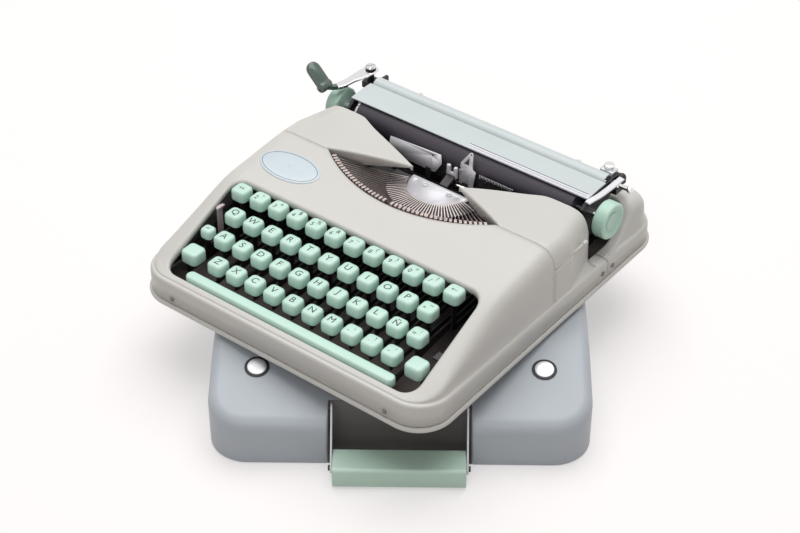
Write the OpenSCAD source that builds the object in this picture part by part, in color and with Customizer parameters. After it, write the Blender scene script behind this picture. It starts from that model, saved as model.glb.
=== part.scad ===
// Flat portable manual typewriter standing on its own carrying lid.
// Machine parts are drawn in machine coordinates: X right, Y to the back, Z up from the base lip.
// The lid is drawn in its own coordinates and turned under the machine.

/* [Carrying lid] */
// Width of the lid and of the base lip
base_w = 290; // [270:1:310]
// Depth of the lid and of the base lip
base_d = 320; // [305:1:335]
// Corner radius seen from above
corner_r = 30; // [22:1:36]
// Height of the lid
lid_h = 58; // [50:1:70]
// Radius of the lid's top edge
lid_edge_r = 12; // [6:1:14]
// Sheet thickness of the lid
lid_wall = 1.8; // [1.2:0.1:2.4]
// Angle of the lid under the machine
lid_turn = 37; // [30:1:45]
// Distance of a push button from the lid's front edge
button_front = 52; // [48:1:60]
// Distance of a push button from the lid's side edge
button_side = 37; // [33:1:45]
// Diameter of a push button
button_d = 15.5; // [12:0.5:18]
// Travel of a push button
button_travel = 3; // [2:0.5:4]
// Width of the handle recess
recess_w = 108; // [96:1:120]
// Depth of the handle recess
recess_d = 22; // [18:1:26]
// Height of the handle pivot over the floor
handle_pivot_z = 44; // [40:1:48]
// Diameter of the handle pivot pins
handle_pin_d = 5; // [4:0.5:6]

/* [Machine placing] */
// Machine centre to the right of the lid centre
machine_x = -6.5; // [-12:0.5:0]
// Machine centre behind the lid centre
machine_y = 9.5; // [4:0.5:14]
// Height of the rubber feet
foot_h = 3; // [2:0.5:5]
// Diameter of a rubber foot
foot_d = 16; // [12:1:20]

/* [Housing] */
// Height of the base lip
lip_h = 4; // [3:0.5:6]
// Wall thickness of the housing castings
wall = 1.8; // [1.4:0.1:2.4]
// Step from the base lip in to the skirt
skirt_inset = 2; // [1.5:0.5:3]
// Height of the skirt ledge at the front
ledge_front = 24; // [21:0.5:26]
// Height of the skirt ledge at the back
ledge_back = 19.5; // [17:0.5:21]
// Height of the deck behind the keyboard
deck_front_z = 63.6; // [60:0.2:66]
// Height of the deck at the cover seam
deck_back_z = 70; // [68:0.5:73]
// Radius of the type basket opening
basket_r = 137; // [134:0.5:140]
// Height of the seam under the ribbon covers
cover_seam_z = 51; // [49:0.5:53]
// Width of the seams between housing parts
seam = 0.8; // [0.6:0.1:1]
// Height of the rear shell
rear_top_z = 51; // [44:0.5:53]
// Long axis of the oval badge
badge_w = 57; // [50:1:62]
// Short axis of the oval badge
badge_d = 32; // [26:1:36]

/* [Keyboard] */
// Distance between neighbouring keys
key_pitch = 19; // [18.4:0.1:19.4]
// Width of a key cap
cap_w = 14.5; // [13.5:0.1:15.2]
// Height of a key cap
cap_h = 9.5; // [8.5:0.1:10]
// Travel of a key cap
key_travel = 8; // [6:0.5:8.5]
// Thickness of a key lever
lever_t = 1.5; // [1.2:0.1:1.8]
// Diameter of the shaft under the key levers
shaft_d = 5; // [4:0.5:6]
// Half length of the space bar
space_half = 101.5; // [96:0.5:104]

/* [Type basket] */
// Number of typebars
bar_count = 42; // [38:2:44]
// Thickness of a typebar
bar_t = 0.8; // [0.6:0.1:0.9]
// Radius of the fulcrum wire
fulcrum_r = 25; // [24:0.5:28]
// Outer radius of the segment
segment_r = 45; // [42:0.5:47]
// Half angle of the segment's slots
segment_half = 72; // [66:1:76]
// Half angle of the row of slugs
slug_half = 34; // [31:0.5:35]
// Radius of the ribbon spools
spool_r = 23; // [20:0.5:24]

/* [Carriage] */
// Length of the platen rubber
platen_len = 216; // [210:1:222]
// Diameter of the platen
platen_d = 30; // [27:0.5:31]
// Diameter of the platen shaft
platen_shaft_d = 8; // [6:0.5:9]
// Height of the platen axis
platen_z = 52; // [51:0.5:54]
// Diameter of a platen knob
knob_d = 30; // [26:0.5:31]
// Width of a platen knob
knob_w = 12; // [10:0.5:14]
// Lift of the carriage for capitals
shift_lift = 6; // [5:0.5:7]
// Running clearance of pins in their bores
fit = 0.06; // [0.04:0.01:0.08]

/* [Hidden] */
$fn = 48;
half_w = base_w / 2;
half_d = base_d / 2;
front_y = -half_d;
machine_z = lid_h + foot_h;
mint = [0.66, 0.86, 0.77];
warm_grey = [0.80, 0.79, 0.76];
blue_grey = [0.70, 0.73, 0.76];
pale_blue = [0.82, 0.87, 0.88];
dark = [0.16, 0.16, 0.17];
steel = [0.72, 0.72, 0.73];
rubber = [0.20, 0.19, 0.21];
green = [0.30, 0.38, 0.34];
pink_grey = [0.82, 0.75, 0.77];

// Places along the machine, from the front edge or from the platen
platen_y = half_d - 73;
platen_r = platen_d / 2;
segment_y = platen_y - 37;
seam_y = platen_y - 79;
cover_back_y = platen_y - 21;
shell_y = platen_y - 8;
opening_front = front_y + 12;
opening_back = front_y + 101;
opening_half = 121.5;
opening_r = 12;
shaft_y = front_y + 160;
shaft_z = 30;

// Key rows: first key's X, number of keys, distance from the front edge, height of the cap tops
number_row = [-109, 12, 92.2, 62.8];
q_row = [-99.5, 11, 72.9, 54.3];
a_row = [-94, 11, 53.3, 45.4];
z_row = [-84, 10, 34.3, 36.5];
strike_index = 5;
space_y = front_y + 17.7;
space_top = 28;
shift_x = 110;
shift_lever_x = 116;
lock_lever_x = 112.5;

function key_x(row, k) = row[0] + key_pitch * k;
function key_y(row) = front_y + row[2];
function key_z(row) = row[3];
function mix(a, b, t) = a + (b - a) * t;

// Frames of the machine and of the lid
module machine() { translate([machine_x, machine_y, machine_z]) children(); }
module lid_frame() { rotate([0, 0, lid_turn]) children(); }
module along_x(x0, x1) { translate([x0, 0, 0]) rotate([90, 0, 90]) linear_extrude(x1 - x0) children(); }
module rod_x(x0, x1, y, z, d) { translate([x0, y, z]) rotate([0, 90, 0]) cylinder(h = x1 - x0, d = d); }
module rod_y(y0, y1, x, z, d) { translate([x, y0, z]) rotate([-90, 0, 0]) cylinder(h = y1 - y0, d = d); }
module slab(x0, x1, y0, y1, z0, z1) { translate([x0, y0, z0]) cube([x1 - x0, y1 - y0, z1 - z0]); }
module mirror_pair() { children(); mirror([1, 0, 0]) children(); }

module rounded_2d(w, d, r) {
  square([w - 2 * r, d], center = true);
  square([w, d - 2 * r], center = true);
  for (sx = [-1, 1]) for (sy = [-1, 1]) translate([sx * (w / 2 - r), sy * (d / 2 - r)]) circle(r);
}

// Rounded rectangle as a closed list of points, counter-clockwise, with points along its long sides
corner_steps = 5;
side_steps = 12;
function corner_arc(cx, cy, r, a0) =
  [for (k = [0 : corner_steps]) let (a = a0 + 90 * k / corner_steps) [cx + r * cos(a), cy + r * sin(a)]];
function side_run(x, y0, y1) = [for (k = [1 : side_steps - 1]) [x, mix(y0, y1, k / side_steps)]];
function outline(inset) =
  let (w = half_w - inset, d = half_d - inset, r = max(corner_r - inset, 4), cx = w - r, cy = d - r)
  concat(corner_arc(cx, -cy, r, -90), side_run(w, -cy, cy), corner_arc(cx, cy, r, 0),
         corner_arc(-cx, cy, r, 90), side_run(-w, cy, -cy), corner_arc(-cx, -cy, r, 180));
ring_n = len(outline(0));
half_n = ring_n / 2;

// Closed solid through a stack of rings; the top is spanned from side to side and the bottom is flat
module loft(rings) {
  n = ring_n;
  m = len(rings);
  walls = [for (j = [0 : m - 2]) for (i = [0 : n - 1]) let (k = (i + 1) % n)
    each [[j * n + i, (j + 1) * n + i, j * n + k], [j * n + k, (j + 1) * n + i, (j + 1) * n + k]]];
  top = (m - 1) * n;
  caps = [for (i = [0 : half_n - 2]) let (a = i, b = i + 1, c = n - 2 - i, d = n - 1 - i)
    each concat([[a, b, d], [b, c, d]], [[top + a, top + d, top + b], [top + b, top + d, top + c]])];
  polyhedron(points = [for (ring = rings) each ring], faces = concat(walls, caps), convexity = 6);
}

// Heights of the housing along the machine
function ledge_z(y) = mix(ledge_front, ledge_back, (y + half_d) / base_d);
deck_table = [
  [front_y, ledge_front + 1], [opening_front, ledge_front + 2.2], [opening_back - 6, deck_front_z - 2.4],
  [opening_back + 2, deck_front_z], [seam_y, deck_back_z], [cover_back_y, deck_back_z - 2], [half_d, deck_back_z - 6]
];
rear_table = [
  [front_y, ledge_back + 1], [shell_y + 25, ledge_back + 1], [shell_y + 47, rear_top_z],
  [half_d - 24, rear_top_z], [half_d, rear_top_z - 12]
];
// Side profile above the ledge: step in from the base edge, share of the height up to the top
side_profile = [[2.6, 0], [5.5, 0.10], [7, 0.28], [8.2, 0.62], [9.6, 0.86], [12.5, 0.96], [18, 1]];
function shell_ring(inset, share, table, off) =
  [for (p = outline(inset + off)) let (low = ledge_z(p[1]), high = max(lookup(p[1], table), low + 1))
    [p[0], p[1], mix(low, high, share) - off]];
function flat_ring(inset, z) = [for (p = outline(inset)) [p[0], p[1], z]];
function shell_rings(table, off, bottom) = concat(
  [flat_ring(skirt_inset + off, bottom)],
  [[for (p = outline(skirt_inset + off)) [p[0], p[1], ledge_z(p[1]) - 2.5 - off]]],
  [for (s = side_profile) shell_ring(skirt_inset + s[0] - side_profile[0][0] + 0.6, s[1], table, off)]);
module shell_solid(table, off, bottom) { loft(shell_rings(table, off, bottom)); }
module shell_sheet(table) {
  difference() {
    shell_solid(table, 0, lip_h);
    shell_solid(table, wall, lip_h - 1);
  }
}

// Carrying lid
recess_y = -half_d + recess_d;
handle_y = recess_y - 8;
grip_y = -half_d - 16;
grip_z = 10;
strap_x = recess_w / 2 - 2;
strap_t = 2;
button_bore = button_d + 1.6;
button_x = half_w - button_side;
button_y = button_front - half_d;
function lid_ring(a, off) =
  [for (p = outline(lid_edge_r * (1 - cos(a)) + off)) [p[0], p[1], lid_h - lid_edge_r * (1 - sin(a)) - off]];
module lid_solid(off, bottom) {
  loft(concat([flat_ring(off, bottom)], [for (a = [0 : 15 : 90]) lid_ring(a, off)]));
}
module recess_shape(grow, top) {
  slab(-recess_w / 2 - grow, recess_w / 2 + grow, -half_d - 5, recess_y + grow, -1, top);
}
module case_lid() {
  color(blue_grey) lid_frame() difference() {
    union() {
      difference() {
        lid_solid(0, 0);
        lid_solid(lid_wall, -1);
      }
      intersection() {
        lid_solid(0, 0);
        difference() {
          recess_shape(lid_wall, lid_h + 1);
          recess_shape(0, lid_h + 2);
        }
      }
    }
    recess_shape(0, lid_h + 2);
    for (s = [-1, 1]) translate([s * button_x, button_y, lid_h - 10]) cylinder(h = 20, d = button_bore);
    rod_x(-recess_w / 2 - 10, recess_w / 2 + 10, handle_y, handle_pivot_z, handle_pin_d);
  }
}

// Black collars round the push buttons, flanged over the lid
module lid_button_rings() {
  color(dark) lid_frame() for (s = [-1, 1]) translate([s * button_x, button_y, 0]) difference() {
    union() {
      translate([0, 0, lid_h]) cylinder(h = 0.6, d = button_bore + 2);
      translate([0, 0, lid_h - lid_wall - 4]) cylinder(h = lid_wall + 4, d = button_bore);
    }
    translate([0, 0, lid_h - 10]) cylinder(h = 20, d = button_d + 2 * fit);
  }
}
button_top = lid_h + 2.2;
button_low = lid_h - lid_wall - 3 - button_travel;
stem_l = 14;
module lid_button(side) {
  lid_frame() translate([side * button_x, button_y, 0]) {
    intersection() {
      translate([0, 0, button_low]) cylinder(h = button_top - button_low, d = button_d);
      translate([0, 0, button_top - 30]) sphere(30, $fn = 96);
    }
    translate([0, 0, button_low - stem_l]) cylinder(h = stem_l, d = 6);
    translate([-5, -2, button_low - stem_l - 2]) cube([10, 9, 2.4]);
  }
}
module lid_button_left() { color(steel) lid_button(-1); }
module lid_button_right() { color(steel) lid_button(1); }

// Handle: two straps on pins in the recess and one grip
grip_w = 24;
grip_h = 18;
module grip_profile() {
  translate([grip_y - grip_w / 2 + grip_h / 2, grip_z]) circle(d = grip_h);
  translate([grip_y + grip_w / 2 - grip_h / 2, grip_z]) circle(d = grip_h);
  translate([grip_y - grip_w / 2 + grip_h / 2, grip_z - grip_h / 2]) square([grip_w - grip_h, grip_h]);
}
module handle_grip() { color(mint) lid_frame() along_x(-strap_x + strap_t, strap_x - strap_t) grip_profile(); }
module strap_profile() {
  lean = atan2(grip_z - handle_pivot_z, grip_y - handle_y);
  run = norm([grip_z - handle_pivot_z, grip_y - handle_y]);
  translate([handle_y, handle_pivot_z]) circle(d = handle_pin_d + 7);
  translate([grip_y, grip_z]) circle(d = 14);
  translate([handle_y, handle_pivot_z]) rotate(lean) translate([0, -5]) square([run, 10]);
}
module handle_straps() {
  color(steel) lid_frame() mirror_pair() {
    along_x(strap_x - strap_t, strap_x) strap_profile();
    rod_x(strap_x, recess_w / 2 + lid_wall + 1, handle_y, handle_pivot_z, handle_pin_d - 2 * fit);
  }
}

// Base pan with its lip, and the feet
module base_pan() {
  color(dark) machine() difference() {
    linear_extrude(lip_h) rounded_2d(base_w, base_d, corner_r);
    translate([0, 0, wall]) linear_extrude(lip_h)
      rounded_2d(base_w - 2 * skirt_inset - 3, base_d - 2 * skirt_inset - 3, corner_r - skirt_inset - 1.5);
  }
}
foot_x = half_w - 75;
foot_y = half_d - 60;
module rubber_feet() {
  color(rubber) machine() for (sx = [-1, 1]) for (sy = [-1, 1])
    translate([sx * foot_x, sy * foot_y, -foot_h]) cylinder(h = foot_h, d = foot_d);
}

// Front housing: the lofted casting with its keyboard and type basket openings
basket_cy = segment_y + 67;
module basket_cut() { translate([0, basket_cy, 30]) cylinder(h = 80, r = basket_r, $fn = 96); }
module front_housing() {
  color(warm_grey) machine() difference() {
    shell_sheet(deck_table);
    translate([0, (opening_front + opening_back) / 2, ledge_front - 12])
      linear_extrude(90) rounded_2d(2 * opening_half, opening_back - opening_front, opening_r);
    basket_cut();
    slab(-half_w, half_w, seam_y, shell_y + 1, cover_seam_z, 100);
    slab(-half_w, half_w, cover_back_y, half_d, ledge_back + 0.5, 100);
    slab(-half_w, half_w, shell_y - seam / 2, half_d, 0, 100);
    mirror_pair() {
      rod_y(barrel_y0 - knuckle, barrel_y1 + knuckle, hinge_x, hinge_z, barrel_d);
      rod_y(barrel_y0 - 0.4, barrel_y1 + 0.4, hinge_x, hinge_z, barrel_d + 0.8);
    }
  }
}
module rear_shell() {
  color(warm_grey) machine() difference() {
    shell_sheet(rear_table);
    slab(-half_w, half_w, -half_d, shell_y + seam / 2, 0, 100);
    slab(-126, 126, shell_y - 1, shell_y + 43, lip_h + 6, 100);
  }
}

// Slotted screws in the skirts
screw_d = 4;
module slotted_head() {
  difference() {
    cylinder(h = 1, d = screw_d, $fn = 24);
    translate([-screw_d, -0.4, 0.5]) cube([2 * screw_d, 0.8, 1]);
  }
}
module housing_screws() {
  skirt_x = half_w - skirt_inset;
  front_x = half_w - 40;
  color(steel) machine() {
    for (s = [-1, 1]) translate([s * front_x, -half_d + skirt_inset, 9]) rotate([90, 0, 0]) slotted_head();
    for (dy = [-7, 7]) mirror_pair() translate([skirt_x, shell_y + dy, 11]) rotate([0, 90, 0]) slotted_head();
  }
}

// Blank oval badge on the deck
badge_x = -94;
badge_y = opening_back + 32;
deck_lean = atan2(deck_back_z - deck_front_z, seam_y - opening_back - 2);
module nameplate() {
  color(pale_blue) machine() translate([badge_x, badge_y, lookup(badge_y, deck_table) + 0.02])
    rotate([deck_lean, 0, 0]) linear_extrude(0.8)
      polygon([for (a = [0 : 9 : 351]) [badge_w / 2 * cos(a), badge_d / 2 * sin(a)]]);
}

// Frame inside: side plates, cross bars, spool shelves with posts, guide posts for the shift
frame_x = 124;
frame_t = 2.5;
spool_x = 98;
spool_y = segment_y - 12;
shelf_z = 36;
shelf_t = 2.5;
post_x = 108;
guide_post_y = platen_y + 4;
guide_post_d = 6;
rest_y = segment_y - 58;
selector_y = opening_front + 64;
selector_z = 20;
touch_y = opening_front + 40;
touch_z = 12;
module side_plate() {
  front = opening_front + 30;
  polygon([[front, wall], [front, 20], [front + 40, 30], [front + 60, shelf_z + shelf_t],
           [platen_y - 18, shelf_z + shelf_t], [platen_y - 18, wall]]);
}
module main_frame() {
  color(dark) machine() {
    difference() {
      union() {
        mirror_pair() along_x(frame_x, frame_x + frame_t) side_plate();
        slab(-frame_x, frame_x, segment_y - 2, segment_y + 8, 26, 34);
        slab(-frame_x, frame_x, rest_y - 4, rest_y + 4, 40, 43.5);
        mirror_pair() slab(frame_x, frame_x + frame_t, rest_y - 4, rest_y + 4, shelf_z, 43.5);
        mirror_pair() slab(spool_x - 25, frame_x, spool_y - 24, spool_y + 24, shelf_z, shelf_z + shelf_t);
      }
      rod_x(-half_w, half_w, shaft_y, shaft_z, shaft_d + 2 * fit);
    }
    mirror_pair() translate([spool_x, spool_y, shelf_z + shelf_t]) cylinder(h = 20, d = 5);
    mirror_pair() translate([post_x, guide_post_y, wall]) cylinder(h = 11 + shift_lift, d = guide_post_d);
    rod_x(-frame_x, -frame_x + 7, selector_y, selector_z, 3);
    rod_x(frame_x - 7, frame_x, touch_y, touch_z, 3);
    translate([drum_x, drum_y, wall]) cylinder(h = 18, d = 5);
  }
}
module key_lever_shaft() {
  color(steel) machine() rod_x(-frame_x - frame_t - 2, frame_x + frame_t + 2, shaft_y, shaft_z, shaft_d);
}

// Typebar segment: half ring, fins between the bars, fulcrum wire
wire_d = 1.2;
bar_z = 46;
bar_h = 3.6;
shank_t = bar_t - 0.1;
shank_h = bar_h - 0.8;
plate_z = 43.2;
function bar_share(i) = (i - (bar_count - 1) / 2) / ((bar_count - 1) / 2);
function seg_angle(i) = segment_half * bar_share(i);
strike_bar = bar_count / 2 - 1;
module about_segment() { translate([0, segment_y, 0]) children(); }
module sector(r0, r1, z0, z1, half) {
  translate([0, 0, z0]) rotate([0, 0, -90 - half]) rotate_extrude(angle = 2 * half, $fn = 96)
    translate([r0, 0]) square([r1 - r0, z1 - z0]);
}
module type_segment() {
  step = segment_half / (bar_count - 1);
  color(steel) machine() about_segment() {
    sector(fulcrum_r - 4, segment_r, 34, bar_z - bar_h / 2 - 0.5, segment_half + 4);
    for (i = [0 : bar_count]) rotate([0, 0, -90 + seg_angle(0) + (2 * i - 1) * step])
      slab(fulcrum_r + 6, segment_r, -0.25, 0.25, bar_z - bar_h / 2 - 0.6, bar_z + 0.4);
    translate([0, 0, bar_z]) rotate([0, 0, -90 - segment_half - 3])
      rotate_extrude(angle = 2 * segment_half + 6, $fn = 96) translate([fulcrum_r, 0]) circle(d = wire_d, $fn = 20);
  }
}
module segment_plate() {
  plate_r = fulcrum_r - 4.3;
  color([0.86, 0.87, 0.88]) machine() about_segment() difference() {
    union() {
      intersection() {
        translate([0, 0, plate_z - 9]) cylinder(h = 9, r = plate_r);
        slab(-plate_r, plate_r, -plate_r, -1, plate_z - 9, plate_z);
      }
      for (s = [-1, 1]) translate([s * 9, -5, plate_z]) slotted_head();
    }
    for (s = [-1, 1]) translate([s * 16, -4, plate_z - 3]) cylinder(h = 4, d = 2);
  }
}

// One typebar: blade in its slot, shank to the slug, slug with its type
slug_r = basket_r - 3;
slug_z = 52;
slug_l = 4;
slug_w = 2.6;
slug_h = 6.5;
function slug_angle(i) = slug_half * bar_share(i);
function bar_end(i) = segment_r * [sin(seg_angle(i)), -cos(seg_angle(i))] + [0, segment_y];
function slug_at(i) = slug_r * [sin(slug_angle(i)), -cos(slug_angle(i))] + [0, basket_cy];
module typebar(i, straight) {
  e = bar_end(i);
  reach = segment_y - (basket_cy - slug_r);
  s = straight ? reach * [sin(seg_angle(i)), -cos(seg_angle(i))] + [0, segment_y] : slug_at(i);
  run = norm(s - e);
  turn = atan2(s[1] - e[1], s[0] - e[0]);
  about_segment() rotate([0, 0, -90 + seg_angle(i)]) difference() {
    slab(fulcrum_r - 1.2, segment_r + 0.3, -bar_t / 2, bar_t / 2, bar_z - bar_h / 2, bar_z + bar_h / 2);
    rod_y(-2, 2, fulcrum_r, bar_z, wire_d + 0.2);
  }
  translate([e[0], e[1], 0]) rotate([0, 0, turn]) {
    rotate([90, 0, 0]) translate([0, 0, -shank_t / 2]) linear_extrude(shank_t)
      polygon([[-2, bar_z - shank_h / 2], [run, slug_z - 1.2], [run, slug_z + 1.2], [-2, bar_z + shank_h / 2]]);
    slab(run - slug_l / 2, run + slug_l / 2, -slug_w / 2, slug_w / 2, slug_z - slug_h / 2, slug_z + slug_h / 2);
  }
}
module typebars() {
  color(steel) machine() for (i = [0 : bar_count - 1]) if (i != strike_bar) typebar(i, false);
}
module strike_typebar() { color(steel) machine() typebar(strike_bar, true); }

// Felt pad under the slugs on its curved carrier
rest_top = slug_z - slug_h / 2 - 0.3;
module typebar_rest() {
  color(dark) machine() {
    translate([0, basket_cy, 0]) sector(slug_r - 4, slug_r + 2, 43.5, rest_top, slug_half + 1);
  }
}

// Type guide with its stem, in front of the printing point
guide_y = platen_y - platen_r - 6;
module type_guide() {
  color(steel) machine() {
    slab(-4, 4, segment_y + 2, segment_y + 5, 34, 44);
    along_x(-4, 4) polygon([[segment_y + 2, 44], [segment_y + 5, 44], [guide_y, 47], [guide_y, 50], [guide_y - 3, 50]]);
    for (s = [-1, 1]) slab(s * 3.4 - 1.4, s * 3.4 + 1.4, guide_y - 3, guide_y, 49.9, 57);
  }
}

// Card plates on both sides of the printing point
card_y = platen_y - platen_r - 3.4;
module card_holder() {
  color(steel) machine() {
    difference() {
      along_x(-64, -12) polygon([[card_y - 0.9, 45], [card_y, 45], [card_y, 60], [card_y - 0.9, 60]]);
      rod_y(card_y - 5, card_y + 5, -19, 56, 2);
    }
    difference() {
      rotate([90, 0, 0]) translate([0, 0, -card_y]) linear_extrude(0.9)
        polygon([[8.4, 45], [22, 45], [22, 53], [15, 54], [13, 65], [10.5, 66], [9, 64], [9.6, 55], [8, 52]]);
      rod_y(card_y - 5, card_y + 5, 11.4, 63.4, 1.6);
    }
    for (x = [-60, -20, 16, 48]) slab(x - 2.5, x + 2.5, segment_y + 8, card_y, 34 - 3, 34);
    for (x = [-60, -20, 16]) slab(x - 2.5, x + 2.5, card_y - 3, card_y, 34, 45);
  }
}
module line_scale() {
  color(dark) machine() {
    slab(24, 58, card_y - 1.2, card_y, 47, 57);
    slab(45.5, 50.5, card_y - 1.2, card_y, 34, 47);
    for (x = [30, 50]) translate([x, card_y - 1.2, 51]) rotate([90, 0, 0]) slotted_head();
  }
}

// Ink ribbon between the spools, and the carrier that lifts it
ribbon_y = card_y + 1.4;
ribbon_low = 43;
ribbon_high = 51;
module ink_ribbon() {
  color(dark) machine() translate([0, 0, ribbon_low]) linear_extrude(ribbon_high - ribbon_low)
    polygon([[-spool_x + 4, spool_y + spool_r + 0.6], [-66, ribbon_y], [66, ribbon_y], [spool_x - 4, spool_y + spool_r + 0.6],
             [spool_x - 4, spool_y + spool_r + 0.2], [66, ribbon_y - 0.4], [-66, ribbon_y - 0.4],
             [-spool_x + 4, spool_y + spool_r + 0.2]]);
}
vibrator_y = guide_y + 1;
module ribbon_vibrator() {
  color(steel) machine() difference() {
    union() {
      slab(-7.5, 7.5, vibrator_y, vibrator_y + 1, 34, 42);
      mirror_pair() slab(4.6, 7.5, vibrator_y, vibrator_y + 1, 40, 55);
    }
    mirror_pair() slab(5.6, 6.5, vibrator_y - 1, vibrator_y + 2, 45, 53);
  }
}
module ribbon_spool(side) {
  translate([side * spool_x, spool_y, shelf_z + shelf_t + 0.4]) difference() {
    union() {
      cylinder(h = 1.2, r = spool_r);
      cylinder(h = 11, r = spool_r - 3);
      translate([0, 0, 11]) cylinder(h = 1.2, r = spool_r);
      translate([0, 0, 12]) cylinder(h = 3, d = 10);
    }
    translate([0, 0, -1]) cylinder(h = 30, d = 5 + 2 * fit);
    for (a = [0 : 120 : 240]) rotate([0, 0, a]) translate([12, 0, 12.7 - 1]) cylinder(h = 5, d = 7);
  }
}
module ribbon_spool_left() { color(dark) machine() ribbon_spool(-1); }
module ribbon_spool_right() { color(dark) machine() ribbon_spool(1); }

// Bell and mainspring drum in the rear shell
drum_x = -90;
drum_y = half_d - 32;
bell_x = 86;
module bell() {
  color(steel) machine() translate([bell_x, drum_y, wall]) {
    cylinder(h = 16, d = 4);
    translate([0, 0, 8]) difference() {
      intersection() {
        sphere(15);
        slab(-20, 20, -20, 20, 0, 20);
      }
      sphere(13.6);
    }
    translate([0, 0, 20]) cylinder(h = 4.5, d = 6);
    translate([0, 0, 15]) cylinder(h = 6, d = 4);
  }
}
module mainspring_drum() {
  color(steel) machine() translate([drum_x, drum_y, wall + 0.4]) difference() {
    union() {
      cylinder(h = 12, r = 15);
      cylinder(h = 1.2, r = 17);
      translate([0, 0, 10.8]) cylinder(h = 1.2, r = 17);
    }
    translate([0, 0, -1]) cylinder(h = 30, d = 5 + 2 * fit);
    for (a = [0 : 90 : 270]) rotate([0, 0, a]) translate([10, 0, 9]) cylinder(h = 9, d = 4);
  }
}

// Ribbon covers: lofted side and top, a flat wing to the tip, a turned-down inner wall, a slim hinge barrel
hinge_x = half_w - 8.4;
hinge_z = cover_seam_z;
hinge_pin_d = 1.6;
barrel_d = 3.2;
wing_x = 83;
tip = [24, seam_y + 35, deck_back_z - 11];
barrel_y0 = seam_y + 11;
barrel_y1 = seam_y + 41;
knuckle = 5;
module wing_point(p) { translate(p - [0, 0, wall / 2]) sphere(wall / 2, $fn = 16); }
module cover() {
  corner = [wing_x, seam_y + seam + 1, deck_back_z];
  back = [wing_x, cover_back_y - 4, lookup(cover_back_y - 4, deck_table)];
  difference() {
    union() {
      intersection() {
        shell_sheet(deck_table);
        slab(wing_x, half_w, seam_y + seam, cover_back_y - seam, cover_seam_z + seam, 100);
      }
      hull() {
        wing_point(corner);
        wing_point(back);
        wing_point(tip);
      }
      hull() {
        wing_point(corner);
        wing_point(tip);
        wing_point([tip[0] + 2, tip[1] - 1, tip[2] - 2]);
        wing_point([corner[0], corner[1], 60]);
      }
      rod_y(barrel_y0, barrel_y1, hinge_x, hinge_z, barrel_d);
      slab(hinge_x - 2, hinge_x, barrel_y0, barrel_y1, hinge_z, cover_seam_z + 4);
    }
    rod_y(barrel_y0 - knuckle, barrel_y1 + knuckle, hinge_x, hinge_z, hinge_pin_d + 2 * fit);
    rod_y(barrel_y0 - knuckle - 0.4, barrel_y0, hinge_x, hinge_z, barrel_d + 0.8);
    rod_y(barrel_y1, barrel_y1 + knuckle + 0.4, hinge_x, hinge_z, barrel_d + 0.8);
  }
}
module cover_right() { color(warm_grey) machine() cover(); }
module cover_left() { color(warm_grey) machine() mirror([1, 0, 0]) cover(); }
module cover_hinge_pins() {
  color(steel) machine() mirror_pair() {
    rod_y(barrel_y0 - knuckle, barrel_y1 + knuckle, hinge_x, hinge_z, hinge_pin_d);
    rod_y(barrel_y0 - knuckle, barrel_y0 - 0.4, hinge_x, hinge_z, barrel_d);
    rod_y(barrel_y1 + 0.4, barrel_y1 + knuckle, hinge_x, hinge_z, barrel_d);
  }
}

// Keys: a cap with a domed top on the upright end of a lever
lever_depth = 5;
function lever_front(row) = min(26, key_z(row) - cap_h - 6);
module key_cap(x, y, z, w, d, h) {
  translate([x, y, 0]) intersection() {
    translate([0, 0, z - h]) linear_extrude(h) rounded_2d(w, d, 4.2);
    translate([0, 0, z - 40]) sphere(40, $fn = 96);
  }
}
module lever_profile(y, z_low, z_cap) {
  lean = atan2(z_low - shaft_z, y - shaft_y);
  run = norm([z_low - shaft_z, y - shaft_y]);
  difference() {
    union() {
      translate([shaft_y, shaft_z]) circle(d = shaft_d + 5);
      translate([shaft_y, shaft_z]) rotate(lean) translate([0, -lever_depth / 2]) square([run, lever_depth]);
      translate([y - lever_depth / 2, z_low - lever_depth / 2]) square([lever_depth, z_cap - z_low + lever_depth / 2]);
    }
    translate([shaft_y, shaft_z]) circle(d = shaft_d + 2 * fit);
  }
}
module key_lever(x, y, z_low, z_cap) {
  along_x(x - lever_t / 2, x + lever_t / 2) lever_profile(y, z_low, z_cap);
}
module row_caps(row, skip) {
  color(mint) machine() for (k = [0 : row[1] - 1]) if (len(search(k, skip)) == 0)
    key_cap(key_x(row, k), key_y(row), key_z(row), cap_w, cap_w, cap_h);
}
module row_levers(row, skip) {
  color(dark) machine() for (k = [0 : row[1] - 1]) if (len(search(k, skip)) == 0)
    key_lever(key_x(row, k), key_y(row), lever_front(row), key_z(row) - cap_h);
}
module whole_key(row, k) {
  color(mint) machine() {
    key_cap(key_x(row, k), key_y(row), key_z(row), cap_w, cap_w, cap_h);
    key_lever(key_x(row, k), key_y(row), lever_front(row), key_z(row) - cap_h);
  }
}
module number_row_caps() { row_caps(number_row, [0, 11]); }
module number_row_levers() { row_levers(number_row, [0, 11]); }
module q_row_caps() { row_caps(q_row, []); }
module q_row_levers() { row_levers(q_row, []); }
module a_row_caps() { row_caps(a_row, [strike_index]); }
module a_row_levers() { row_levers(a_row, [strike_index]); }
module z_row_caps() { row_caps(z_row, []); }
module z_row_levers() { row_levers(z_row, []); }
module margin_release_key() { whole_key(number_row, 0); }
module backspace_key() { whole_key(number_row, 11); }
module strike_key() { whole_key(a_row, strike_index); }

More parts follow.
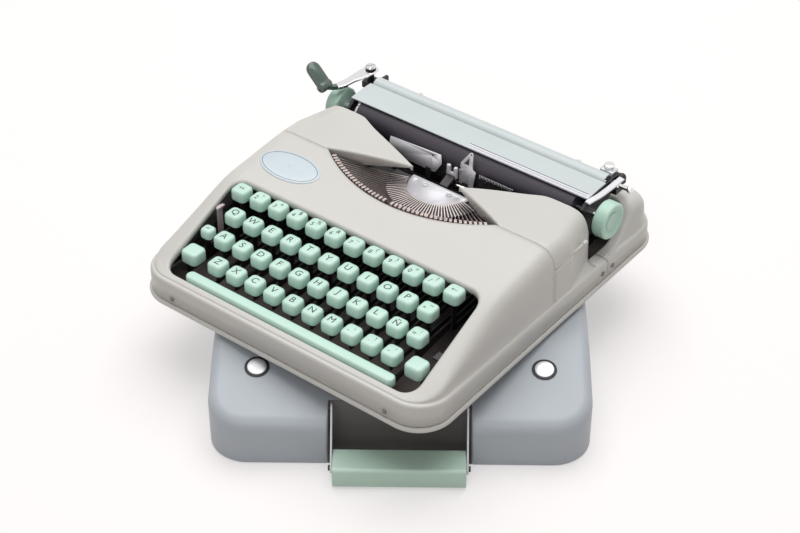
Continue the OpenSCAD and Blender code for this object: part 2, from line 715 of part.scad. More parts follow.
// Shift keys on one pair of levers, shift lock, space bar with two arms
module side_arm(x_cap, x_lever, y, z) {
  slab(min(x_cap, x_lever) - lever_t / 2, max(x_cap, x_lever) + lever_t / 2, y - 2, y + 2, z - 3, z);
}
module shift_keys() {
  color(mint) machine() mirror_pair() {
    key_cap(shift_x, key_y(z_row), key_z(z_row), cap_w + 1.5, cap_w + 1, cap_h + 1);
    side_arm(shift_x, shift_lever_x, key_y(z_row), key_z(z_row) - cap_h - 1);
    key_lever(shift_lever_x, key_y(z_row), lever_front(z_row), key_z(z_row) - cap_h - 1);
  }
}
module shift_lock_key() {
  color(mint) machine() {
    key_cap(-shift_x - 1, key_y(a_row), key_z(a_row), cap_w - 3.5, cap_w - 4, cap_h - 1.5);
    side_arm(-shift_x - 1, -lock_lever_x, key_y(a_row), key_z(a_row) - cap_h + 1.5);
    key_lever(-lock_lever_x, key_y(a_row), lever_front(a_row), key_z(a_row) - cap_h + 1.5);
  }
}
space_h = 8;
space_dep = 9.4;
space_arms = [-87, 93.2];
space_arm_z = wall + key_travel + 3.2;
module space_bar() {
  color(mint) machine() {
    translate([0, space_y, space_top - space_h]) linear_extrude(space_h - 2) rounded_2d(2 * space_half, space_dep, space_dep / 2 - 0.1);
    translate([0, space_y, space_top - 2]) linear_extrude(2) rounded_2d(2 * space_half - 2, space_dep - 2, space_dep / 2 - 1.1);
    for (x = space_arms) key_lever(x, space_y, space_arm_z, space_top - space_h);
  }
}

// Ribbon colour selector on the left and touch lever on the right
selector_x = opening_half - 3;
module selector_arm(x, y, z, top, bend) {
  difference() {
    along_x(x - 0.9, x + 0.9) {
      translate([y, z]) circle(d = 8);
      translate([y - 2.5, z]) square([5, top - z]);
    }
    rod_x(x - 5, x + 5, y, z, 3 + 2 * fit);
  }
  slab(min(x, x + bend), max(x, x + bend), y - 4, y + 4, top - 1.5, top);
}
module colour_selector() { color(pink_grey) machine() selector_arm(-selector_x - 1, selector_y, selector_z, 50, 2.3); }
module touch_lever() { color(steel) machine() selector_arm(selector_x + 1, touch_y, touch_z, 34, -6); }

// Frame that lifts the carriage for capitals, with its two rails
rail_low = 20;
rail_high = 27.6;
rail_ys = [platen_y - 4, platen_y + 10];
module shift_frame() {
  color(steel) machine() {
    difference() {
      mirror_pair() slab(post_x - 7, post_x + 7, platen_y - 6, platen_y + 14, 12, rail_low);
      for (s = [-1, 1]) translate([s * post_x, guide_post_y, 0]) cylinder(h = 40, d = guide_post_d + 2 * fit);
    }
    for (y = rail_ys) slab(-post_x - 12, post_x + 12, y - 2, y + 2, rail_low, rail_high);
  }
}

// Carriage: bar on the rails, end plates, margin rail, cover strip
bar_low = 28;
bar_high = 32;
end_x = platen_len / 2 + 8;
end_t = 2.5;
stop_rail_y = platen_y + 37;
stop_rail_z = 60;
module carriage_frame() {
  color(dark) machine() {
    difference() {
      slab(-end_x, end_x, platen_y - 11, platen_y + 17, bar_low, bar_high);
      for (y = rail_ys) slab(-end_x - 1, end_x + 1, y - 2.4, y + 2.4, bar_low - 1, bar_low + 1);
    }
    rod_x(-end_x, end_x, stop_rail_y, stop_rail_z, 4);
  }
}
table_z = platen_z + platen_r + 1;
table_back = platen_y + 21;
module end_profile() {
  difference() {
    polygon([[platen_y - 13, bar_low], [platen_y + 17, bar_low], [platen_y + 20, 50], [platen_y + 42, 56],
             [platen_y + 42, 66], [platen_y + 30, table_z - 1], [platen_y - 2, table_z - 1.5], [platen_y - 12, 60]]);
    translate([platen_y, platen_z]) circle(d = platen_shaft_d + 2 * fit);
    translate([roller_y, roller_z]) circle(d = roller_pin_d + 2 * fit);
  }
}
lever_pivot = [-end_x - 10, platen_y + 30];
module carriage_ends() {
  color(dark) machine() {
    along_x(end_x, end_x + end_t) end_profile();
    along_x(-end_x - end_t, -end_x) end_profile();
    slab(lever_pivot[0] - 5, -end_x, lever_pivot[1] - 6, lever_pivot[1] + 6, 58, 64);
    translate([lever_pivot[0], lever_pivot[1], 64]) cylinder(h = 11.5, d = 6);
    translate([lever_pivot[0], lever_pivot[1], 75.5]) cylinder(h = 1.2, d = 9);
    slab(end_x - 12, end_x, platen_y + 34, platen_y + 42, 62, 69);
    translate([end_x - 6, platen_y + 38, 69]) cylinder(h = 4, d = 6);
    slab(end_x + end_t, end_x + end_t + 8, platen_y + 24, platen_y + 34, 58, 63);
    translate([end_x + end_t + 4, platen_y + 29, 63]) cylinder(h = 3, d = 3);
  }
}
cover_back = platen_y + 33;
module carriage_cover() {
  color(pale_blue) machine() along_x(-end_x, end_x) difference() {
    translate([cover_back - 7, table_z - 4]) circle(7);
    translate([cover_back - 7, table_z - 4]) circle(5.8);
    translate([cover_back - 20, table_z - 30]) square([40, 26]);
  }
}
module paper_table() {
  color(pale_blue) machine() {
    along_x(-end_x + 1, end_x - 1) polygon([
      [platen_y - 7, table_z + 0.4], [table_back - 2, table_z + 1.4],
      [table_back - 2, table_z + 2.4], [platen_y - 7, table_z + 1.4]]);
    rod_x(-end_x + 1, end_x - 1, table_back - 2, table_z + 1.4, 2.4);
  }
}

// Platen with shaft, ratchet and knobs, and the roller that presses the paper
roller_pin_d = 3;
roller_d = 7;
roller_y = platen_y + 11;
roller_z = platen_z - 15.6;
module platen() {
  color(rubber) machine() difference() {
    rod_x(-platen_len / 2, platen_len / 2, platen_y, platen_z, platen_d);
    rod_x(-platen_len, platen_len, platen_y, platen_z, platen_shaft_d);
  }
}
knob_x0 = end_x + end_t + 10;
module platen_shaft() {
  teeth = 24;
  color(steel) machine() {
    rod_x(-knob_x0, knob_x0, platen_y, platen_z, platen_shaft_d);
    translate([-platen_len / 2 - 4.5, platen_y, platen_z]) rotate([90, 0, 90]) linear_extrude(3) difference() {
      polygon([for (k = [0 : 2 * teeth - 1]) let (a = 180 * k / teeth, r = k % 2 == 0 ? 13 : 11) [r * cos(a), r * sin(a)]]);
      circle(d = platen_shaft_d);
    }
  }
}
module knob() {
  grips = 36;
  difference() {
    rotate_extrude($fn = 72) polygon([
      [0, 0], [knob_d / 2 - 2, 0], [knob_d / 2, 2], [knob_d / 2, knob_w - 2], [knob_d / 2 - 2, knob_w],
      [knob_d / 2 - 3.5, knob_w], [knob_d / 2 - 5, knob_w - 2.5], [5, knob_w - 3], [4, knob_w - 1.5], [0, knob_w - 1.5]]);
    for (k = [0 : grips - 1]) rotate([0, 0, 360 * k / grips])
      translate([knob_d / 2 + 0.3, 0, 2.2]) cylinder(h = knob_w - 4.4, d = 1.4, $fn = 16);
  }
}
module platen_knobs() {
  color(mint) machine() mirror_pair() translate([knob_x0, platen_y, platen_z]) rotate([0, 90, 0]) knob();
}
module feed_roller() {
  color(rubber) machine() {
    for (x = [-70, 0, 70]) rod_x(x - 18, x + 18, roller_y, roller_z, roller_d);
    rod_x(-end_x - end_t, end_x + end_t, roller_y, roller_z, roller_pin_d);
  }
}

// Return lever: arm on its pivot screw and the grip that stands up at its end
arm_z = 72.6;
arm_end = [-end_x - 16, platen_y - 15];
grip_end = [-end_x - 37, platen_y - 15, 86];
module return_lever() {
  machine() {
    color(steel) difference() {
      hull() {
        translate([lever_pivot[0], lever_pivot[1], arm_z]) cylinder(h = 2.4, d = 13, $fn = 32);
        translate([arm_end[0], arm_end[1], arm_z]) cylinder(h = 2.4, d = 9, $fn = 32);
      }
      translate([lever_pivot[0], lever_pivot[1], arm_z - 1]) cylinder(h = 6, d = 6 + 2 * fit);
    }
    color(green) hull() {
      translate([arm_end[0], arm_end[1], arm_z + 5]) rotate([90, 0, 0]) cylinder(h = 8, d = 8, center = true, $fn = 32);
      translate(grip_end) rotate([90, 0, 0]) cylinder(h = 8, d = 11, center = true, $fn = 32);
    }
  }
}

// Sliding margin stops and the carriage release lever
stop_x = 80;
module margin_stop(x) {
  difference() {
    slab(x - 4, x + 4, stop_rail_y - 4, stop_rail_y + 5, stop_rail_z - 5, stop_rail_z + 9);
    rod_x(x - 10, x + 10, stop_rail_y, stop_rail_z, 4 + 2 * fit);
  }
}
module margin_stop_left() { color(steel) machine() margin_stop(-stop_x); }
module margin_stop_right() { color(steel) machine() margin_stop(stop_x); }
module carriage_release_lever() {
  color(steel) machine() translate([end_x + end_t + 4, platen_y + 29, 63.3]) difference() {
    union() {
      cylinder(h = 2, d = 8);
      slab(0, 12, -1.6, 1.6, 0, 2);
      translate([13, 0, 1.2]) sphere(2.8);
    }
    translate([0, 0, -1]) cylinder(h = 5, d = 3 + 2 * fit);
  }
}

case_lid();
lid_button_rings();
lid_button_left();
lid_button_right();
handle_grip();
handle_straps();
base_pan();
rubber_feet();
front_housing();
rear_shell();
housing_screws();
nameplate();
main_frame();
key_lever_shaft();
type_segment();
segment_plate();
typebars();
typebar_rest();
type_guide();
card_holder();
line_scale();
ink_ribbon();
bell();
cover_hinge_pins();
cover_left();
cover_right();
ribbon_spool_left();
ribbon_spool_right();
number_row_caps();
number_row_levers();
q_row_caps();
q_row_levers();
a_row_caps();
a_row_levers();
z_row_caps();
z_row_levers();
margin_release_key();
backspace_key();
shift_keys();
shift_lock_key();
space_bar();
strike_key();
strike_typebar();
ribbon_vibrator();
colour_selector();
touch_lever();
shift_frame();
carriage_frame();
carriage_ends();
carriage_cover();
paper_table();
platen();
platen_shaft();
platen_knobs();
feed_roller();
return_lever();
margin_stop_left();
margin_stop_right();
carriage_release_lever();
mainspring_drum();
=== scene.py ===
"""Looks of a flat portable typewriter standing on its carrying lid. Sizes are in millimetres unless said."""
from math import asin, atan2, cos, degrees, exp, hypot, pi, radians, sin

import bmesh
import bpy
import numpy as np
from mathutils import Matrix, Vector


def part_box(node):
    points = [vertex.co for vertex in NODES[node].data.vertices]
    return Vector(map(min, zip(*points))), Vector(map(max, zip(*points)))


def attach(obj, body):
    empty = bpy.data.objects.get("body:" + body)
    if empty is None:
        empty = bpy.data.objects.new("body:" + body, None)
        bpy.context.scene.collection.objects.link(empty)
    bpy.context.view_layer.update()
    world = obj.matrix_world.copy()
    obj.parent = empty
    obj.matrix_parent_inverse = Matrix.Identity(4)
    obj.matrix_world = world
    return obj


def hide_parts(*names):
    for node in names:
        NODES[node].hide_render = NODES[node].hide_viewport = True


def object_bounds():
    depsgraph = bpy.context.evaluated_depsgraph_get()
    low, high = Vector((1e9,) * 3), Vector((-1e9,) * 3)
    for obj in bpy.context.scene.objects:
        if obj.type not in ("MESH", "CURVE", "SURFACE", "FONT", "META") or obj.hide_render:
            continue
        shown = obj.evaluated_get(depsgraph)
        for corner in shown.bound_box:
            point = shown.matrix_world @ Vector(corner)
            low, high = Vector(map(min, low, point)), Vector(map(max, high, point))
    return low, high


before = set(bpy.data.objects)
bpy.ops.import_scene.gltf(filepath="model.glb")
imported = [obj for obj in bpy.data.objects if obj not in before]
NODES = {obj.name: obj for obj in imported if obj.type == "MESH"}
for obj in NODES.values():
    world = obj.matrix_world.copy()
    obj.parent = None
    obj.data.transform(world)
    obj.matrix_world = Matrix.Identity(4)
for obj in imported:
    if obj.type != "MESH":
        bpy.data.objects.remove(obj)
CAD_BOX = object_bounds()

# Frames: the machine's origin is the middle of its base lip, the lid is turned under it
MM = 0.001
LID_TURN = 37.0
base_low, base_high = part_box("base_pan")
ORIGIN = Vector(((base_low.x + base_high.x) / 2, (base_low.y + base_high.y) / 2, base_low.z))
MACHINE = Matrix.Translation(ORIGIN) @ Matrix.Scale(MM, 4)
LID = Matrix.Rotation(radians(LID_TURN), 4, "Z") @ Matrix.Scale(MM, 4)

# Outline shared by base, housing and lid
HALF_W = (base_high.x - base_low.x) / 2 / MM
HALF_D = (base_high.y - base_low.y) / 2 / MM
CORNER_R = 30.0
CORNER_X = HALF_W - CORNER_R
CORNER_Y = HALF_D - CORNER_R
SHEET = 1.6

# Places along the machine
PLATEN_Y = HALF_D - 73
PLATEN_Z = 52.0
SEAM_Y = PLATEN_Y - 79
SHELL_Y = PLATEN_Y - 8
COVER_BACK = PLATEN_Y - 21
SEAM_Z = 51.0
GAP = 0.8
SEAM_GAP = 0.45
BASKET_R = 137.0
BASKET_X = 83.0
BASKET_Y = PLATEN_Y + 30
OPEN_X = 121.5
OPEN_FRONT = -HALF_D + 12
OPEN_BACK = -HALF_D + 101
OPEN_R = 12.0


def srgb(r, g, b):
    """Linear colour of an sRGB triple from 0 to 255."""
    values = [c / 255 for c in (r, g, b)]
    return tuple(c / 12.92 if c <= 0.04045 else ((c + 0.055) / 1.055) ** 2.4 for c in values)


# Materials
NOISE_RANGE = (0.3, 0.7)
GRAIN_DEPTH = 0.0002
COAT_ROUGH = 0.12
SLOTS = {}


def set_inputs(node, values):
    """Sets inputs of a shader node by name."""
    for socket, value in values.items():
        node.inputs[socket].default_value = value


def new_node(tree, kind, values=None):
    node = tree.nodes.new("ShaderNode" + kind)
    set_inputs(node, values or {})
    return node


def noise(tree, scale, detail, stretch=None):
    """Noise in the piece's own metres; stretch squeezes it along the axes."""
    place = new_node(tree, "TexCoord").outputs["Object"]
    if stretch:
        mapping = new_node(tree, "Mapping", {"Scale": stretch})
        tree.links.new(place, mapping.inputs["Vector"])
        place = mapping.outputs["Vector"]
    texture = new_node(tree, "TexNoise", {"Scale": scale, "Detail": detail})
    tree.links.new(place, texture.inputs["Vector"])
    return texture.outputs["Fac"]


def spread(tree, value, low, high):
    """Runs from low to high over the middle range of a noise."""
    start, end = NOISE_RANGE
    node = new_node(tree, "MapRange", {"From Min": start, "From Max": end, "To Min": low, "To Max": high})
    tree.links.new(value, node.inputs["Value"])
    return node.outputs["Result"]


def mixed(tree, factor, first, second):
    """Blend of two colours."""
    node = new_node(tree, "Mix")
    node.data_type = "RGBA"
    tree.links.new(factor, node.inputs["Factor"])
    node.inputs["A"].default_value = (*first, 1)
    node.inputs["B"].default_value = (*second, 1)
    return node.outputs["Result"]


def shade(colour, factor):
    return tuple(min(1.0, c * factor) for c in colour)


def finish_of(name, colour, rough, slot=None, metal=0.0, coat=0.0, cloud=0.06, cloud_scale=22, grain=700,
              bump=0.04, rough_spread=0.06, stretch=None):
    """Painted, moulded or metal surface: clouded colour, uneven gloss and fine grain."""
    made = bpy.data.materials.new(name)
    made.use_nodes = True
    SLOTS[made.name] = slot
    tree = made.node_tree
    shader = tree.nodes["Principled BSDF"]
    clouds = spread(tree, noise(tree, cloud_scale, 4), 0, 1)
    tone = mixed(tree, clouds, shade(colour, 1 - cloud), shade(colour, 1 + cloud))
    tree.links.new(tone, shader.inputs["Base Color"])
    fine = noise(tree, grain, 2, stretch)
    gloss = spread(tree, fine, rough - rough_spread, rough + rough_spread)
    tree.links.new(gloss, shader.inputs["Roughness"])
    relief = new_node(tree, "Bump", {"Strength": bump, "Distance": GRAIN_DEPTH})
    tree.links.new(fine, relief.inputs["Height"])
    tree.links.new(relief.outputs["Normal"], shader.inputs["Normal"])
    set_inputs(shader, {"Metallic": metal, "Coat Weight": coat, "Coat Roughness": COAT_ROUGH})
    return made


HOUSING = finish_of("housing_enamel", srgb(211, 209, 204), 0.42, "housing_paint", coat=0.12, cloud=0.012,
                    grain=900, bump=0.05)
LID_PAINT = finish_of("lid_enamel", srgb(185, 192, 199), 0.46, "lid_paint", coat=0.06, cloud=0.02, bump=0.06)
# Painted shade: the handle recess gets a darker grey than the lid's paint for the shade inside it
RECESS_SHADE = finish_of("recess_painted_shade", srgb(122, 120, 119), 0.55, "inner_black", cloud=0.08, grain=500,
                   bump=0.1)
INNER = finish_of("inner_black", srgb(27, 25, 27), 0.5, "inner_black", cloud=0.15, grain=900, bump=0.08)
GROOVE = finish_of("joint_shadow", srgb(38, 35, 34), 0.8, "inner_black", cloud=0.1)
FLOOR_FELT = finish_of("well_floor", srgb(104, 95, 93), 0.9, "base_paint", cloud=0.1, cloud_scale=60,
                       grain=1800, bump=0.5)
MINT = finish_of("mint_plastic", srgb(202, 236, 222), 0.34, "key_plastic", coat=0.15, cloud=0.02,
                 grain=900, bump=0.03)
MINT_KNOB = finish_of("mint_knob", srgb(194, 229, 212), 0.36, "knob_plastic", coat=0.12, cloud=0.03,
                      grain=900)
MINT_GRIP = finish_of("mint_grip", srgb(200, 228, 212), 0.33, "handle_plastic", coat=0.2, cloud=0.03,
                      cloud_scale=30, grain=300)
LEGEND = finish_of("legend_ink", srgb(34, 42, 40), 0.6, "inner_black", cloud=0.15, cloud_scale=400)
RUBBER = finish_of("platen_rubber", srgb(66, 61, 70), 0.52, grain=1400, bump=0.12)
TABLE = finish_of("table_enamel", srgb(204, 213, 214), 0.38, "table_paint", coat=0.15, cloud=0.02,
                  grain=600, bump=0.05)
CHROME = finish_of("chrome", (0.80, 0.80, 0.81), 0.12, "chrome", metal=1.0, cloud=0.03, grain=500,
                   bump=0.02, rough_spread=0.04)
STEEL = finish_of("bright_steel", (0.62, 0.62, 0.63), 0.3, "bright_steel", metal=1.0, bump=0.06,
                  stretch=(1, 12, 12))
BAR_STEEL = finish_of("typebar_steel", (0.62, 0.55, 0.53), 0.36, "bright_steel", metal=1.0, cloud=0.12,
                      cloud_scale=90, grain=900)
SLUG_STEEL = finish_of("slug_steel", (0.40, 0.34, 0.32), 0.38, "bright_steel", metal=1.0, cloud=0.15,
                       cloud_scale=120, grain=900)
ALLOY = finish_of("plate_alloy", (0.80, 0.80, 0.83), 0.42, "chrome", metal=0.6, cloud=0.03, grain=1200,
                  bump=0.06)
PALE_ALLOY = finish_of("bright_alloy", (0.74, 0.735, 0.77), 0.45, "alloy", metal=0.15, coat=0.1,
                       cloud=0.03, grain=1200)
DARK_STEEL = finish_of("dark_steel", srgb(52, 48, 51), 0.42, "dark_steel", metal=0.4, cloud=0.12,
                       grain=800, bump=0.08)
SCREW_STEEL = finish_of("screw_steel", (0.26, 0.24, 0.23), 0.4, metal=0.8, cloud=0.1, cloud_scale=90,
                        grain=800)
BADGE = finish_of("badge_enamel", srgb(204, 217, 224), 0.3, "badge_enamel", coat=0.3, cloud=0.02)
OUTLINE_INK = finish_of("badge_line", srgb(70, 78, 84), 0.5, "inner_black", cloud=0.05)
LEVER_GREEN = finish_of("lever_green", srgb(70, 92, 82), 0.25, "lever_plastic", coat=0.5, cloud=0.1,
                        cloud_scale=60, grain=300)
TAB_PINK = finish_of("selector_tab", srgb(212, 193, 199), 0.45, cloud=0.03)
SCALE_WHITE = finish_of("scale_white", srgb(226, 226, 234), 0.4, "table_paint", cloud=0.02)
FELT = finish_of("dark_felt", srgb(48, 42, 40), 0.95, cloud=0.15, cloud_scale=80, grain=2200, bump=0.6)
RIBBON = finish_of("ribbon_cloth", srgb(22, 20, 24), 0.85, cloud=0.1, grain=3000, bump=0.4)
FOOT = finish_of("foot_rubber", srgb(34, 33, 34), 0.75, "rubber_black", cloud=0.1, grain=900, bump=0.1)


# Mesh helpers
WELD = 0.004
SLIVER = 0.001
EDGE_ANGLE = 40
NODE_CREASE = 30


def skin(rings, closed=False):
    """Points and quads between rings that have the same number of points."""
    n = len(rings[0])
    points = [p for ring in rings for p in ring]
    faces = []
    for j in range(len(rings) - 1):
        for i in range(n if closed else n - 1):
            k = (i + 1) % n
            faces.append((j * n + i, j * n + k, (j + 1) * n + k, (j + 1) * n + i))
    return points, faces


def joined(*parts):
    """Several point and face lists as one."""
    points, faces = [], []
    for more_points, more_faces in parts:
        start = len(points)
        points += list(more_points)
        faces += [tuple(i + start for i in f) for f in more_faces]
    return points, faces


def placed(part, matrix):
    points, faces = part
    return [tuple(matrix @ Vector(p)) for p in points], faces


def mirrored(part):
    points, faces = part
    return [(-p[0], p[1], p[2]) for p in points], [tuple(reversed(f)) for f in faces]


def paired(part):
    """A part and its mirror image."""
    return joined(part, mirrored(part))


def lofted(rings):
    """A skin of closed rings, shut by a face at its first and last ring."""
    points, faces = skin(rings, closed=True)
    n = len(rings[0])
    last = len(points) - n
    return points, faces + [tuple(reversed(range(n))), tuple(range(last, last + n))]


def around(steps):
    """Angles of a full turn."""
    return np.linspace(0, 2 * pi, steps, False)


def quarter(steps):
    """Angles of a quarter turn, both ends included."""
    return np.linspace(0, pi / 2, steps)


def flipped(line):
    """A plan line on the other side of the middle, run backwards."""
    return [(-x, y) for x, y in reversed(line)]


def clamped(share):
    return min(1.0, max(0.0, share))


def linked(name, data):
    """A new object in the scene."""
    made = bpy.data.objects.new(name, data)
    bpy.context.scene.collection.objects.link(made)
    return made


def smoothed(mesh, material, crease):
    """One material and smooth shading that breaks at edges sharper than the crease."""
    mesh.materials.clear()
    mesh.materials.append(material)
    mesh.shade_smooth()
    mesh.set_sharp_from_angle(angle=radians(crease))


def build(name, part, material, body="chassis", space=MACHINE, replaces=None, slot=None, crease=35,
          flip=False, sheet=0.0, edge=0.0):
    """One piece of the object from points and faces, riding on a body."""
    points, faces = part
    mesh = bpy.data.meshes.new(name)
    mesh.from_pydata([tuple(p) for p in points], [], faces)
    edit = bmesh.new()
    edit.from_mesh(mesh)
    bmesh.ops.remove_doubles(edit, verts=edit.verts, dist=WELD)
    bmesh.ops.dissolve_degenerate(edit, edges=edit.edges, dist=SLIVER)
    if flip:
        bmesh.ops.reverse_faces(edit, faces=edit.faces)
    edit.to_mesh(mesh)
    edit.free()
    mesh.transform(space)
    made = linked(name, mesh)
    smoothed(mesh, material, crease)
    if sheet:
        wall = made.modifiers.new("sheet", "SOLIDIFY")
        wall.thickness = sheet * MM
        wall.offset = -1
        wall.use_even_offset = False
        wall.bevel_convex = 1.0 if edge else 0.0
    if edge:
        round_edge = made.modifiers.new("edge", "BEVEL")
        round_edge.width = edge * MM
        round_edge.segments = 2
        round_edge.limit_method = "WEIGHT" if sheet else "ANGLE"
        round_edge.angle_limit = radians(EDGE_ANGLE)
        round_edge.harden_normals = False
    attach(made, body)
    if replaces:
        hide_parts(replaces)
    slot = slot or SLOTS[material.name]


def arc(cx, cy, r, a0, a1, steps):
    """Points of an arc in degrees, both ends included."""
    turns = np.radians(np.linspace(a0, a1, steps))
    return [(cx + r * cos(a), cy + r * sin(a)) for a in turns]


def circle(cx, cy, r, steps):
    return arc(cx, cy, r, 0, 360 - 360 / steps, steps)


def rounded_rect(half_x, half_y, r, steps=8):
    """Closed outline round the origin, counter-clockwise from the front right corner."""
    cx, cy = half_x - r, half_y - r
    return (arc(cx, -cy, r, -90, 0, steps) + arc(cx, cy, r, 0, 90, steps)
            + arc(-cx, cy, r, 90, 180, steps) + arc(-cx, -cy, r, 180, 270, steps))


def turned(profile, steps, x=0.0, y=0.0):
    """Profile of (radius, z) turned about an upright axis."""
    return lofted([[(x + r * cos(a), y + r * sin(a), z) for a in around(steps)] for r, z in profile])


def swept_x(profile, x0, x1, cuts=2):
    """Closed profile of (y, z) run along X with flat ends."""
    return lofted([[(x, y, z) for y, z in profile] for x in np.linspace(x0, x1, cuts)])


def plate(points, z0, z1):
    """Flat outline between two heights."""
    return lofted([[(x, y, z) for x, y in points] for z in (z0, z1)])


def block(x0, x1, y0, y1, z0, z1):
    points = [(x, y, z) for z in (z0, z1) for x, y in ((x0, y0), (x1, y0), (x1, y1), (x0, y1))]
    return points, [(3, 2, 1, 0), (4, 5, 6, 7), (0, 1, 5, 4), (1, 2, 6, 5), (2, 3, 7, 6), (3, 0, 4, 7)]


def tube(points, radius, sides=12):
    """Round rod along a line of points, with flat ends."""
    rings = []
    line = [Vector(p) for p in points]
    for k, p in enumerate(line):
        ahead = (line[min(k + 1, len(line) - 1)] - line[max(k - 1, 0)]).normalized()
        side = ahead.cross(Vector((0.13, 0.31, 1))).normalized()
        up = side.cross(ahead)
        rings.append([tuple(p + radius * (cos(a) * side + sin(a) * up)) for a in around(sides)])
    return lofted(rings)


def curve_through(points):
    """Smooth line through a few points."""
    p = [np.array(q, float) for q in points]
    p = [2 * p[0] - p[1]] + p + [2 * p[-1] - p[-2]]
    out = []
    for k in range(1, len(p) - 2):
        for t in np.linspace(0, 1, 10, False):
            out.append(0.5 * (2 * p[k] + (p[k + 1] - p[k - 1]) * t
                              + (2 * p[k - 1] - 5 * p[k] + 4 * p[k + 1] - p[k + 2]) * t ** 2
                              + (3 * p[k] - p[k - 1] - 3 * p[k + 1] + p[k + 2]) * t ** 3))
    out.append(p[-2])
    return [tuple(q) for q in out]


# Heights of the housing: runs along Y, and the rise from the ledge to the deck across the side
DECK = [(-HALF_D, 24.9), (OPEN_FRONT, 26.2), (OPEN_BACK - 6, 61.2), (OPEN_BACK + 2, 63.6), (SEAM_Y, 70),
        (COVER_BACK, 68), (HALF_D, 64)]
REAR = [(SHELL_Y, 21.6), (SHELL_Y + 22, 22), (SHELL_Y + 45, 48.5), (HALF_D - 24, 48.5), (HALF_D, 37.5)]
SIDE = [(4.4, 0), (4.75, 0.02), (5.2, 0.07), (5.7, 0.2), (6.2, 0.5), (7, 0.68), (9, 0.82), (12.4, 0.92),
        (17, 0.975), (24, 1)]
SIDE_LINE = curve_through(SIDE)
SKIRT = [(2.0, None), (2.0, -4.5), (2.15, -2.6), (2.6, -1.2), (3.4, -0.35), (4.4, 0)]
SKIRT_LOW = 4.8
LEDGE_FRONT = 24
LEDGE_FALL = 4.5
SOFT = 8.0
SIDE_STEPS = 34
CORNER_STEPS = 15
END_STEPS = 42


def soft_height(y, table):
    """Height on straight runs whose corners are rounded over the length SOFT."""
    return float(np.mean(np.interp(np.linspace(y - SOFT, y + SOFT, 9), *zip(*table))))


def ledge(y):
    return LEDGE_FRONT - LEDGE_FALL * (y + HALF_D) / (2 * HALF_D)


def share_at(inset):
    xs, ys = zip(*SIDE_LINE)
    return float(np.interp(inset, np.maximum.accumulate(xs), ys))


def inset_at(share):
    xs, ys = zip(*SIDE_LINE)
    return float(np.interp(share, np.maximum.accumulate(ys), xs))


def drawn(y):
    """How far the covers and the walls under them draw in towards the carriage."""
    return float(np.interp(y, [SEAM_Y + 22, COVER_BACK], [0, 7.6]))


def inset_of(x, y, rear=False):
    """Distance from the base outline, measured at the sides and at the front or rear end."""
    qx = abs(x) - CORNER_X + (0 if rear else drawn(y))
    qy = (y if rear else -y) - CORNER_Y
    if qx > 0 and qy > 0:
        return CORNER_R - hypot(qx, qy)
    return CORNER_R - max(qx, qy)


def surface_z(x, y, table=DECK, rear=False):
    """Height of the housing, from the ledge at its edge to the deck."""
    low = ledge(y)
    high = max(soft_height(y, table), low + 1)
    return low + (high - low) * share_at(inset_of(x, y, rear))


def end_path(inset, y_start, sign):
    """Open outline from (x, y_start) round one end of the machine to (-x, y_start); sign -1 is the front."""
    r = CORNER_R - inset
    x = HALF_W - inset
    side = [(x, y) for y in np.linspace(y_start, sign * CORNER_Y, SIDE_STEPS)[:-1]]
    corner = [(CORNER_X + r * cos(a), sign * (CORNER_Y + r * sin(a))) for a in quarter(CORNER_STEPS)]
    half = side + corner
    middle = [(q, sign * (HALF_D - inset)) for q in np.linspace(CORNER_X, -CORNER_X, END_STEPS)[1:-1]]
    return half + middle + flipped(half)


def skirt_z(y, drop):
    return SKIRT_LOW if drop is None else ledge(y) + drop


def side_insets(top):
    """Insets of the side's rounded line, up to the one where the top surface starts."""
    return [q[0] for q in SIDE_LINE[1:] if q[0] < top - 0.15] + [top]


def side_levels(table, path, top_inset, rear=False):
    """Rings from the skirt up to the inset where the top surface starts."""
    rings = [[(x, y, skirt_z(y, drop)) for x, y in path(inset)] for inset, drop in SKIRT]
    for inset in side_insets(top_inset):
        rings.append([(x, y, surface_z(x, y, table, rear)) for x, y in path(inset)])
    return rings


def fractions_of(points):
    """Share of the whole length at each point of a line."""
    p = np.array(points, float)
    length = np.concatenate([[0], np.cumsum(np.linalg.norm(np.diff(p, axis=0), axis=1))])
    return length / length[-1]


def as_fractions(points, fractions):
    """Points of a line at given shares of its length."""
    length = fractions_of(points)
    return [tuple(float(np.interp(f, length, values)) for values in zip(*points)) for f in fractions]


def end_runs(ring):
    """Three runs of an end's outline, split at the middle of its corners."""
    far = len(ring) - CORNER_SPLIT
    return [ring[:CORNER_SPLIT + 1], ring[CORNER_SPLIT:far], ring[far - 1:]]


def matched(runs, inner_runs, edge_runs, closed):
    """Points of an outer, an inner and an edge line that belong together, run by run."""
    outer, inner, edge = [], [], []
    for run, inner_run, edge_run in zip(runs, inner_runs, edge_runs):
        share = fractions_of(run)
        last = None if run is runs[-1] and not closed else -1
        outer += run[:last]
        inner += as_fractions(inner_run, share)[:last]
        edge += as_fractions(edge_run, share)[:last]
    return outer, inner, edge


def top_rings(outer, inner, shares, table=DECK, rear=False):
    """Rings of the top surface between two outlines."""
    rings = []
    for t in shares:
        plan = [(a[0] + (b[0] - a[0]) * t, a[1] + (b[1] - a[1]) * t) for a, b in zip(outer, inner)]
        rings.append([(x, y, surface_z(x, y, table, rear)) for x, y in plan])
    return rings


def rolled_rings(inner, edge, heights, roll, steps):
    """Rings of the quarter round from the top surface down to an edge."""
    rings = []
    for a in quarter(steps)[1:]:
        k, drop = 1 - sin(a), roll * (1 - cos(a))
        rings.append([(e[0] + (i[0] - e[0]) * k, e[1] + (i[1] - e[1]) * k, z - drop)
                      for e, i, z in zip(edge, inner, heights)])
    return rings


